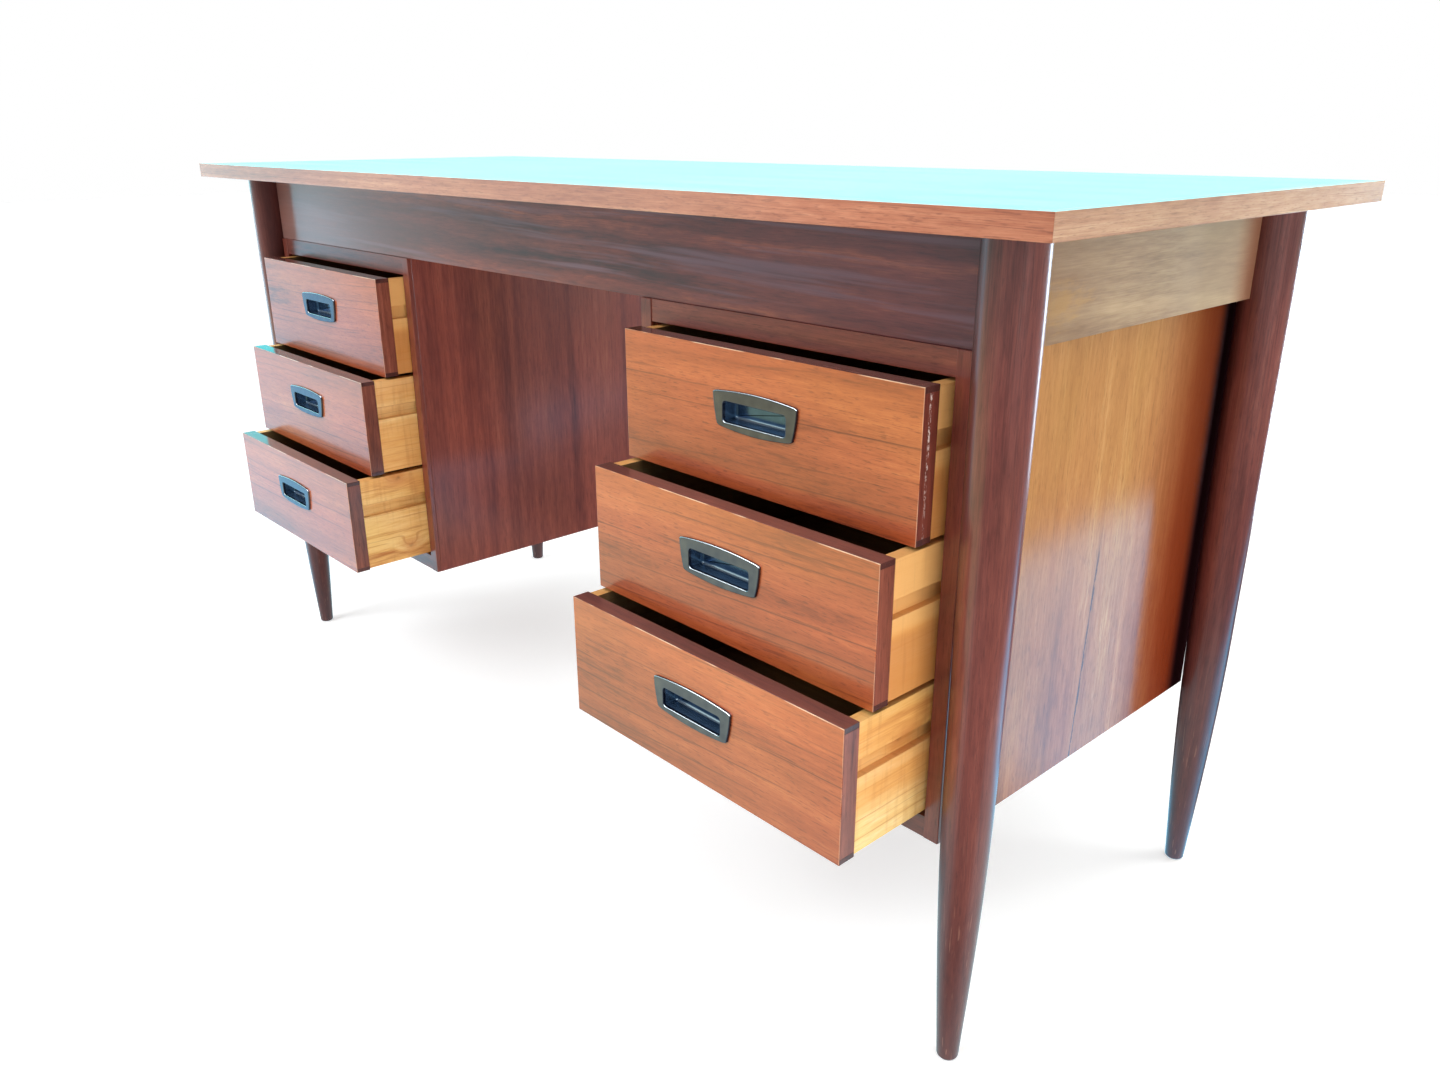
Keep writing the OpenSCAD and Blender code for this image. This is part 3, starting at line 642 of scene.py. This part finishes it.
def board(name, box, material, body, replaces=(), bevel=0.4 * MM):
    """A board that fills a box, with its arrises eased."""
    low, high = Vector(box[0]), Vector(box[1])
    x, y, z = (high - low) / 2
    block = prism_mesh([(-x, -y), (x, -y), (x, y), (-x, y)], 2, -z, z)
    return make(name, block, (low + high) / 2, material, body, replaces, bevel)


def skin_mesh(loops, through=False):
    """A solid with a skin over closed loops that have as many points each, and a face on each end.

    A form with a hole through it has no ends: its last loop is joined to its first."""
    bm = bmesh.new()
    rings = [[bm.verts.new(point) for point in loop] for loop in loops]
    if through:
        rings.append(rings[0])
    for first, second in zip(rings, rings[1:]):
        for i in range(len(first)):
            j = (i + 1) % len(first)
            bm.faces.new((first[i], first[j], second[j], second[i]))
    if not through:
        bm.faces.new(rings[0])
        bm.faces.new(reversed(rings[-1]))
    return bm


def prism_mesh(outline, axis, start, end):
    """An outline in the other two axes, in their order, carried along axis from start to end."""
    loops = [[(*point[:axis], reach, *point[axis:]) for point in outline] for reach in (start, end)]
    return skin_mesh(loops)


def solids(node):
    """(lowest corner, highest corner) of each separate solid in a CAD node, from low x, y and z up."""
    bm = bmesh.new()
    bm.from_mesh(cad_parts[node].data)
    bmesh.ops.remove_doubles(bm, verts=bm.verts, dist=SAME_POINT)
    waiting = set(bm.verts)
    boxes = []
    while waiting:
        group = [waiting.pop()]
        for vert in group:
            for edge in vert.link_edges:
                other = edge.other_vert(vert)
                if other in waiting:
                    waiting.remove(other)
                    group.append(other)
        low = Vector([min(vert.co[a] for vert in group) for a in range(3)])
        high = Vector([max(vert.co[a] for vert in group) for a in range(3)])
        boxes.append((low, high))
    bm.free()
    return sorted(boxes, key=lambda box: tuple(round(value, 4) for value in box[0]))


def dress(node, material, bevel=0.0):
    """Gives a CAD node that stays its material and, where it is a plain board, eased arrises."""
    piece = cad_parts[node]
    piece.data.materials.clear()
    piece.data.materials.append(material)
    if bevel > 0:
        weld = piece.modifiers.new("weld", "WELD")
        weld.merge_threshold = SAME_POINT
        soften(piece, bevel)


# ----- desk top -----

def build_top():
    """The veneered field and four mitred lippings, whose long outer edges alone are rounded."""
    low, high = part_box("top_panel")
    board("top_field", (low, high), top_veneer(), "carcase", ["top_panel"], 0.15 * MM)
    outer_low, outer_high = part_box("top_lippings")
    thick = outer_high.z - outer_low.z
    centre = (outer_low + outer_high) / 2
    seam = 0.05 * MM
    woods = (lipping_wood("lipping_across", "xzy", EDGE_TONES, pale_painted_light=0.16),
             lipping_wood("lipping_deep", "yzx", SIDE_EDGE_TONES))
    for turn, name in enumerate(("front", "right", "rear", "left")):
        sideways = turn % 2
        half_len = (outer_high - outer_low)[sideways] / 2
        half_off = (outer_high - outer_low)[1 - sideways] / 2
        lipping = half_off - (high - low)[1 - sideways] / 2 - 2 * seam
        outer_x, inner_x = half_len - seam, half_len - lipping - seam
        outline = [(-outer_x, -half_off), (outer_x, -half_off),
                   (inner_x, -half_off + lipping), (-inner_x, -half_off + lipping)]
        bm = prism_mesh(outline, 2, -thick / 2, thick / 2)
        bmesh.ops.rotate(bm, verts=bm.verts, matrix=Matrix.Rotation(turn * math.pi / 2, 3, "Z"))
        level_edges = []
        for edge in bm.edges:
            first, second = (vert.co for vert in edge.verts)
            level = abs(first.z - second.z) < SAME_PLANE
            if level and all(abs(abs(co[1 - sideways]) - half_off) < SAME_PLANE for co in (first, second)):
                level_edges.append(edge)
        bmesh.ops.bevel(bm, geom=level_edges, offset=1.1 * MM, segments=3, profile=0.5, affect="EDGES")
        make("top_lipping_" + name, bm, centre, woods[sideways], "carcase",
             ["top_lippings"], 0.12 * MM, 1)


# ----- legs and aprons -----

def build_legs():
    material = leg_teak()
    apron_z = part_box("apron_front")[0].z
    for end in ("front", "rear"):
        for side in SIDES:
            node = f"leg_{end}_{side}"
            low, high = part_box(node)
            top_r = (high.x - low.x) / 2

            def radius(z):
                if z < LEG_TAPER_H:
                    return LEG_FOOT_R + (LEG_SHIN_R - LEG_FOOT_R) * math.sin(math.pi / 2 * z / LEG_TAPER_H)
                share = min(1.0, (z - LEG_TAPER_H) / (apron_z - LEG_TAPER_H))
                return LEG_SHIN_R + (top_r - LEG_SHIN_R) * share

            rim_r = radius(FOOT_RIM_R) - FOOT_RIM_R
            profile = []
            for turn in quarter(8):
                profile.append((rim_r + FOOT_RIM_R * math.sin(turn), FOOT_RIM_R * (1 - math.cos(turn))))
            for below, above, count in ((FOOT_RIM_R, LEG_TAPER_H, 30), (LEG_TAPER_H, apron_z, 8)):
                for i in range(1, count + 1):
                    z = below + (above - below) * i / count
                    profile.append((radius(z), z))
            profile.append((top_r, high.z))
            place = (low + high) / 2
            place.z = 0.0
            make("turned_" + node, lathe_mesh(profile, 96), place, material, "carcase", [node])


def build_aprons():
    across = Vector((TENON_REACH, 0, 0))
    deep = Vector((0, TENON_REACH, 0))
    front, side = apron_front_veneer(), apron_side_veneer()
    for name, material, tenon in (("front", front, across), ("rear", front, across),
                                  ("left", side, deep), ("right", side, deep)):
        low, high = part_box("apron_" + name)
        board(f"apron_{name}_board", (low + tenon, high - tenon), material, "carcase",
              ["apron_" + name], 0.5 * MM)


# ----- pedestals -----

def build_pedestals():
    panel_low, panel_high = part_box("right_pedestal_outer_side")
    outer, inner = outer_side_veneer((panel_high.y - panel_low.y) / 2), inner_side_veneer()
    upright = lipping_wood("panel_lipping_wood", "zyx", DARK_TONES)
    level = lipping_wood("rail_wood", "xzy", DARK_TONES)
    for side in SIDES:
        pedestal = side + "_pedestal_"
        for hand, material in (("outer_side", outer), ("inner_side", inner)):
            board(f"{pedestal}{hand}_panel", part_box(pedestal + hand), material, "carcase",
                  [pedestal + hand], 0.4 * MM)
        for name, box in zip(("west", "east"), solids(pedestal + "lippings")):
            board(f"{pedestal}{name}_lipping", box, upright, "carcase",
                  [pedestal + "lippings"], 0.7 * MM)
        dress(pedestal + "bottom", level)
        dress(pedestal + "rails", level)
        dress(pedestal + "back", inner, 0.4 * MM)
        dress(pedestal + "runners", PINE)


# ----- drawers -----

def ring_plate_mesh(size, window, thick, back):
    """A plate in x and z with a window through it, or with a pocket where back is the floor's thickness.

    The window is (lowest x, lowest z, highest x, highest z). The plate's face lies on y = 0."""
    half_w, half_h = size[0] / 2, size[1] / 2
    edge = (-half_w, -half_h, half_w, half_h)
    loops = []
    for (x0, z0, x1, z1), y in ((edge, thick), (edge, 0.0), (window, 0.0), (window, thick - back)):
        loops.append([(x0, y, z0), (x1, y, z0), (x1, y, z1), (x0, y, z1)])
    return skin_mesh(loops, through=back == 0)


def recess_window(front_box, pull_box):
    """The pocket for a pull's cup, measured from the middle of the front."""
    middle_z = (pull_box[0].z + pull_box[1].z) / 2 - RECESS_DROP - (front_box[0].z + front_box[1].z) / 2
    half_w = RECESS_W / 2 + CUP_WALL + CUP_FIT
    half_h = RECESS_H / 2 + CUP_WALL + CUP_FIT
    return (-half_w, middle_z - half_h, half_w, middle_z + half_h)


def build_front(drawer, veneer, core_wood, level, upright):
    low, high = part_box(drawer + "_front")
    window = recess_window((low, high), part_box(drawer + "_pull"))
    width, thick, height = high - low
    face = (low + high) / 2
    face.y = low.y
    make(drawer + "_front_veneer", ring_plate_mesh((width, height), window, FACE_VENEER, 0.0), face,
         veneer, drawer, [drawer + "_front"], 0.35 * MM)
    core = ring_plate_mesh((width - 2 * FRONT_LIPPING, height - 2 * FRONT_LIPPING), window,
                           thick - FACE_VENEER, thick - RECESS_DEPTH - CUP_WALL - CUP_FIT)
    behind = face + Vector((0, FACE_VENEER, 0))
    make(drawer + "_front_core", core, behind, core_wood, drawer)
    y0, y1 = low.y + FACE_VENEER, high.y
    west, east = low.x + FRONT_LIPPING, high.x - FRONT_LIPPING
    foot, head = low.z + FRONT_LIPPING, high.z - FRONT_LIPPING
    strips = {"lower": ((low.x, y0, low.z), (high.x, y1, foot), level),
              "upper": ((low.x, y0, head), (high.x, y1, high.z), level),
              "west": ((low.x, y0, foot), (west, y1, head), upright),
              "east": ((east, y0, foot), (high.x, y1, head), upright)}
    for name, (start, end, material) in strips.items():
        board(f"{drawer}_front_{name}_lipping", (start, end), material, drawer, (), 0.25 * MM)


def build_box(drawer, side, tier):
    """The drawer's two grooved sides, its back and its bottom."""
    front_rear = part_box(drawer + "_front")[1].y
    runner_tops = sorted({round(box[1].z, 4) for box in solids(side + "_pedestal_runners")})
    groove_top = runner_tops[TIERS.index(tier)] + RUNNER_SEAT
    for name, outward, (low, high) in zip(("west", "east"), (-1, 1), solids(drawer + "_sides")):
        outer, inner = (low.x, high.x) if outward < 0 else (high.x, low.x)
        floor_x = outer - outward * GROOVE_DEPTH
        groove_foot = groove_top - GROOVE_H
        outline = [(outer, low.z), (outer, groove_foot), (floor_x, groove_foot), (floor_x, groove_top),
                   (outer, groove_top), (outer, high.z), (inner, high.z), (inner, low.z)]
        middle = (low + high) / 2
        middle.y = front_rear
        local = [(x - middle.x, z - middle.z) for x, z in outline]
        # Three drawers' outer sides take pine with painted light and shade.
        outside = PINE_PAINTED_SHADE if drawer in PAINTED_SHADE_DRAWERS else PINE
        bm = prism_mesh(local, 1, 0.0, high.y - front_rear)
        piece = make(f"{drawer}_{name}_side", bm, middle, outside, drawer, [drawer + "_sides"],
                     0.6 * MM)
        # The inner faces take pine darkened as painted shade.
        piece.data.materials.append(PINE_INSIDE)
        for polygon in piece.data.polygons:
            if polygon.normal.x * outward < -0.9 and abs(polygon.center.x - (inner - middle.x)) < 0.1 * MM:
                polygon.material_index = 1
    dress(drawer + "_back", PINE_ACROSS, 0.4 * MM)
    dress(drawer + "_bottom", PLYWOOD)


# ----- pulls -----

def bowed_side(start, end, bow, cut, count):
    """Points on a bowed side from start to end that leaves out a share, cut, at each end."""
    along = end - start
    out = Vector((along.y, -along.x)).normalized()
    points = []
    for i in range(count + 1):
        t = cut + (1 - 2 * cut) * i / count
        points.append(start + t * along - 4 * t * (1 - t) * bow * out)
    return points


def four_sided_loop(corners, bows, cuts):
    """A closed loop through four bowed sides with rounded corners, from the upper left one clockwise."""
    counts = (28, 8)
    sides = []
    for i in range(4):
        sides.append(bowed_side(corners[i], corners[(i + 1) % 4], bows[i % 2], cuts[i % 2], counts[i % 2]))
    loop = []
    for i in range(4):
        loop += sides[i]
        start, corner, end = sides[i][-1], corners[(i + 1) % 4], sides[(i + 1) % 4][0]
        for k in range(1, 6):
            t = k / 6
            loop.append((1 - t) ** 2 * start + 2 * t * (1 - t) * corner + t * t * end)
    return loop


def inset(loop, distance):
    """The loop moved inwards by distance. It runs clockwise."""
    moved = []
    for i, point in enumerate(loop):
        along = (loop[(i + 1) % len(loop)] - loop[i - 1]).normalized()
        moved.append(point + distance * Vector((along.y, -along.x)))
    return moved


def quarter(steps):
    """The angles of a quarter turn, both ends included."""
    return [math.pi / 2 * i / steps for i in range(steps + 1)]


def corner_points(upper_w, lower_w, height, drop=0.0):
    """The corners of a form with level edges of those widths, from the upper left one clockwise."""
    upper, lower = height / 2 - drop, -height / 2 - drop
    return [Vector((-upper_w / 2, upper)), Vector((upper_w / 2, upper)),
            Vector((lower_w / 2, lower)), Vector((-lower_w / 2, lower))]


def pull_mesh(width, height, thick):
    """A flange with arched edges round a finger cup, as one closed solid whose back lies on y = 0."""
    arris_r, lip_r, fillet_r, draft = 1 * MM, 0.9 * MM, 3.2 * MM, 0.5 * MM
    corners = corner_points(width, PULL_BOTTOM_W, height - 2 * PULL_ARCH)
    edge = four_sided_loop(corners, (PULL_ARCH, PULL_BOW), (PULL_CORNER, PULL_CORNER))
    corners = corner_points(RECESS_W, RECESS_W, RECESS_H, RECESS_DROP)
    window = four_sided_loop(corners, (0, 0), (RECESS_R / RECESS_W, RECESS_R / RECESS_H))
    loops = []

    def lay(loop, y):
        loops.append([(point.x, y, point.y) for point in loop])

    outside = inset(window, -CUP_WALL)
    lay(outside, RECESS_DEPTH + CUP_WALL)
    lay(outside, 0.0)
    lay(edge, 0.0)
    for turn in quarter(4):
        lay(inset(edge, arris_r * (1 - math.cos(turn))), -(thick - arris_r) - arris_r * math.sin(turn))
    for turn in quarter(4):
        lay(inset(window, -lip_r * (1 - math.sin(turn))), -thick + lip_r * (1 - math.cos(turn)))
    for turn in quarter(6):
        lay(inset(window, draft + fillet_r * (1 - math.cos(turn))),
            RECESS_DEPTH - fillet_r + fillet_r * math.sin(turn))
    return skin_mesh(loops)


def lathe_mesh(profile, count):
    """A solid of (radius, height) points turned round the Z axis."""
    turns = [2 * math.pi * k / count for k in range(count)]
    return skin_mesh([[(r * math.cos(a), r * math.sin(a), z) for a in turns] for r, z in profile])


def screw_mesh(shank_r, head_r, head_h, reach):
    """A screw that stands on its point, with a rounded head."""
    profile = [(0.2 * shank_r, 0.0), (shank_r, 2 * shank_r), (shank_r, reach)]
    for turn in quarter(5):
        profile.append((head_r * (0.55 + 0.45 * math.cos(turn)),
                        reach + head_h * (0.25 + 0.75 * math.sin(turn))))
    profile.insert(3, (head_r, reach))
    return lathe_mesh(profile, 24)


def build_pull(drawer, metal):
    """The pull, and the two screws that hold it from inside the drawer."""
    node = drawer + "_pull"
    west_screw, east_screw = sorted(solids(node), key=lambda box: box[1].x - box[0].x)[:2]
    low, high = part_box(node)
    face_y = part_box(drawer + "_front")[0].y
    place = (low + high) / 2
    place.y = face_y
    bm = pull_mesh(high.x - low.x, high.z - low.z, face_y - low.y)
    make(drawer + "_recessed_pull", bm, place, metal, drawer, [node])
    inner_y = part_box(drawer + "_front")[1].y
    for name, (start, end) in (("west", west_screw), ("east", east_screw)):
        head_r = (end.x - start.x) / 2
        bm = screw_mesh(head_r / 2, head_r, end.y - inner_y, inner_y - start.y)
        bmesh.ops.rotate(bm, verts=bm.verts, matrix=Matrix.Rotation(-math.pi / 2, 3, "X"))
        foot = (start + end) / 2
        foot.y = start.y
        make(f"{drawer}_{name}_pull_screw", bm, foot, STEEL, drawer, [node])


def build_drawers():
    front_low, front_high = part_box("left_bottom_drawer_front")
    veneer = front_veneer((front_high.x - front_low.x) / 2, (front_high.z - front_low.z) / 2)
    core_wood = front_back_veneer()
    level = lipping_wood("front_lipping_level", "xyz", LEVEL_TONES)
    upright = lipping_wood("front_lipping_upright", "zyx", UPRIGHT_TONES)
    chipped = lipping_wood("front_lipping_chipped", "zyx", DARK_TONES, chips=0.9)
    metal = bronze()
    for side in SIDES:
        for tier in TIERS:
            drawer = f"{side}_{tier}_drawer"
            build_front(drawer, veneer, core_wood, level, chipped if drawer == CHIPPED_DRAWER else upright)
            build_box(drawer, side, tier)
            build_pull(drawer, metal)


# ----- studio -----

def softbox(name, place, size, power, colour):
    """A soft area light that faces the desk. It lights the matt part of surfaces alone."""
    data = bpy.data.lights.new(name, "AREA")
    data.shape = "RECTANGLE"
    data.size, data.size_y = size
    data.energy = power
    data.color = colour
    light = bpy.data.objects.new(name, data)
    light.location = place
    aim = (cad_low + cad_high) / 2 - light.location
    light.rotation_euler = aim.to_track_quat("-Z", "Y").to_euler()
    light.visible_camera = False
    light.visible_glossy = False
    bpy.context.scene.collection.objects.link(light)


def emission(g, colour):
    shader = g.add("Emission", {"Color": colour, "Strength": 1.0})
    g.add("OutputMaterial", {0: shader.outputs[0]})
    return g.owner


def flat_stage(name, height, material):
    """A square stage plane at that height."""
    bm = bmesh.new()
    bmesh.ops.create_grid(bm, x_segments=12, y_segments=12, size=FLOOR_REACH)
    bmesh.ops.translate(bm, verts=bm.verts, vec=(0, 0, height))
    plane = to_object(name, bm, material)
    return plane


def reflected_only(plane):
    """Shows a stage plane to polished surfaces alone."""
    for ray in ("camera", "diffuse", "shadow", "transmission"):
        setattr(plane, "visible_" + ray, False)


def standing_card(name, place, material, width, height):
    """An upright stage card that stands at place and faces the desk."""
    bm = bmesh.new()
    corners = ((-width / 2, 0, 0), (width / 2, 0, 0), (width / 2, 0, height), (-width / 2, 0, height))
    bm.faces.new([bm.verts.new(corner) for corner in corners])
    card = to_object(name, bm, material)
    card.location = place
    card.rotation_euler = (0, 0, math.atan2(place[1], place[0]) - math.pi / 2)
    reflected_only(card)


# Linear colours of the reflected light. Those above 1 are brighter than a screen's white.
GLARE_NEUTRAL = rgb(112, 108, 102)
GLARE_FAR = (0.40, 0.62, 0.66, 1.0)
GLARE_PALE = (0.46, 0.82, 0.92, 1.0)
GLARE_FRONT = (0.60, 1.00, 1.10, 1.0)
GLARE_BLUE = (0.32, 1.70, 2.75, 1.0)
GLARE_BENEATH = (0.36, 0.35, 0.34, 1.0)
GLARE_OLIVE = (1.20, 1.18, 0.62, 1.0)
GLARE_WARM = (1.22, 1.44, 1.04, 1.0)
GLARE_COOL = (0.78, 1.6, 2.05, 1.0)
GLARE_DARK = (0.01, 0.01, 0.015, 1.0)
PANE_LOW = (0.46, 1.60, 1.75, 1.0)
PANE_HIGH = (0.14, 1.60, 1.75, 1.0)
ROOM = (0.64, 0.83, 0.86, 1.0)
CEILING_LIGHT = (6.5, 6.7, 6.9, 1.0)
MATT_LOW = (0.56, 0.57, 0.58, 1.0)
MATT_HIGH = (0.13, 0.13, 0.13, 1.0)
SKY_LIGHT = (0.90, 0.95, 1.0)
PALE_LIGHT = (0.92, 0.95, 0.95)


def glare():
    """What polished surfaces see of the floor: warm light before the desk, cool daylight to both sides.

    It is neutral beneath the desk and dark in the corner behind its right-hand pedestal."""
    g = Graph("glare")
    x, y = g.place()[:2]
    near = g.times(g.fall(x, 1.16, 1.30), g.step(y, -1.7, -0.9))
    # Painted shadow in the reflected floor just before the front right leg: the near glare is dimmed there.
    shadow_patch = g.times(g.step(x, 0.50, 0.66), g.fall(y, -0.30, -0.16))
    near = g.times(near, g.rest(g.times(shadow_patch, 0.85)))
    far = g.math("MAXIMUM", g.fall(x, -2.6, -1.6), g.fall(y, -4.0, -2.4))
    far = g.math("MAXIMUM", far, g.step(x, 1.9, 3.0, 0.0, 0.6))
    colour = g.mix(far, GLARE_NEUTRAL, GLARE_FAR)
    daylight = g.mix(g.step(y, 0.10, 0.35), GLARE_FRONT, GLARE_BLUE)
    daylight = g.mix(g.step(x, 0.35, 0.65), GLARE_PALE, daylight)
    colour = g.mix(near, colour, daylight)
    beneath = g.times(g.step(x, -0.60, -0.45), g.fall(x, 0.30, 0.45))
    beneath = g.times(beneath, g.times(g.step(y, -0.36, -0.26), g.fall(y, 0.26, 0.36)))
    colour = g.mix(beneath, colour, GLARE_BENEATH)
    leftward = g.plus(y, g.times(x, -0.41))
    before = g.times(g.fall(x, 0.25, 0.55), g.fall(y, -0.50, -0.35))
    warm = g.times(g.times(before, g.step(y, -2.8, -2.0)), g.fall(leftward, -0.50, -0.38))
    colour = g.mix(warm, colour, g.mix(g.step(y, -1.4, -1.0), GLARE_OLIVE, GLARE_WARM))
    cool = g.times(g.step(leftward, -0.42, -0.30), g.fall(x, -0.9, -0.6))
    colour = g.mix(cool, colour, GLARE_COOL)
    behind = g.plus(x, g.times(y, -0.445))
    dark = g.times(g.fall(behind, 0.53, 0.59), g.step(y, 0.28, 0.36))
    return emission(g, g.mix(dark, colour, GLARE_DARK))


def window_glow(name, low, high):
    """A bright window: its colours at the floor and at half a metre and above."""
    g = Graph(name)
    return emission(g, g.mix(g.step(g.place()[2], 0.0, 0.5), low, high))


def sky():
    """White to the camera, an even pale room to matt surfaces, with a cool window to polished ones."""
    world = bpy.data.worlds.new("sky")
    bpy.context.scene.world = world
    g = Graph("sky", world)
    x, y, z = g.split(g.add("TexCoord", {}).outputs["Generated"])
    towards = g.math("DIVIDE", g.plus(g.times(x, -0.87), g.times(y, 0.50)), g.length(x, y))
    window = g.times(g.step(towards, 0.45, 0.80), g.fall(z, 0.30, 0.55))
    pane = g.mix(g.step(z, 0.02, 0.12), PANE_LOW, PANE_HIGH)
    room = g.mix(window, ROOM, pane)
    room = g.mix(g.step(z, 0.62, 0.72), room, CEILING_LIGHT)
    ray = g.add("LightPath", {})
    matt = g.mix(g.step(z, 0.10, 0.75), MATT_LOW, MATT_HIGH)
    seen = g.mix(ray.outputs["Is Diffuse Ray"], room, matt)
    seen = g.mix(ray.outputs["Is Camera Ray"], seen, WHITE)
    background = g.add("Background", {0: seen, 1: 1.0})
    g.add("OutputWorld", {0: background.outputs[0]})


def build_studio():
    sky()
    flat_stage("floor", 0.0, floor_paint())
    reflected_only(flat_stage("floor_glare", GLARE_HEIGHT, glare()))
    glow = window_glow("window_glow", (5.0, 6.0, 7.0, 1.0), (8.0, 10.0, 12.0, 1.0))
    dull_glow = window_glow("dull_window_glow", (1.6, 1.6, 1.7, 1.0), (3.0, 3.0, 3.2, 1.0))
    standing_card("rear_window", (0.82, 1.6, 0.0), glow, width=0.34, height=0.70)
    standing_card("rear_left_window", (0.32, 1.5, 0.0), glow, width=0.50, height=0.70)
    standing_card("left_window", (-2.0, -0.55, 0.0), dull_glow, width=0.14, height=1.5)
    softbox("key", (-1.2, -3.4, 2.8), size=(2.2, 2.2), power=104, colour=SKY_LIGHT)
    softbox("low_fill", (3.1, -0.9, 0.36), size=(1.6, 0.5), power=38, colour=SKY_LIGHT)
    softbox("rear_fill", (2.4, 2.4, 1.9), size=(1.6, 1.6), power=50, colour=PALE_LIGHT)
    bpy.context.scene.view_settings.view_transform = "Standard"


def build_camera():
    """The camera stands right of the desk's front corner, just above the top."""
    data = bpy.data.cameras.new("camera")
    data.lens = CAMERA_LENS
    camera = bpy.data.objects.new("camera", data)
    yaw, pitch, roll = (math.radians(angle) for angle in CAMERA_TURN)
    turn = (Matrix.Rotation(yaw, 4, "Z") @ Matrix.Rotation(math.pi / 2 + pitch, 4, "X")
            @ Matrix.Rotation(roll, 4, "Z"))
    camera.matrix_world = Matrix.Translation(CAMERA_PLACE) @ turn
    bpy.context.scene.collection.objects.link(camera)
    bpy.context.scene.camera = camera


PINE = pine("pine", "yzx")
# Pine with painted light and shade, for the outer sides of three drawers.
PINE_PAINTED_SHADE = pine("pine_painted_shade", "yzx", painted_light_and_shade=1.0)
# Pine darkened as painted shade, for the drawer backs.
PINE_ACROSS = pine("pine_across", "xzy", 0.8)
# Pine darkened as painted shade, for the inner faces of the drawer sides.
PINE_INSIDE = pine("pine_inside", "yzx", 0.8)
PLYWOOD = plywood()
STEEL = steel()

build_camera()
build_studio()
build_top()
build_legs()
build_aprons()
build_pedestals()
build_drawers()
dress("corner_blocks", PINE)
dress("pedestal_dowels", PINE)
dress("frame_screws", STEEL)
dress("runner_screws", STEEL)

bpy.context.view_layer.update()
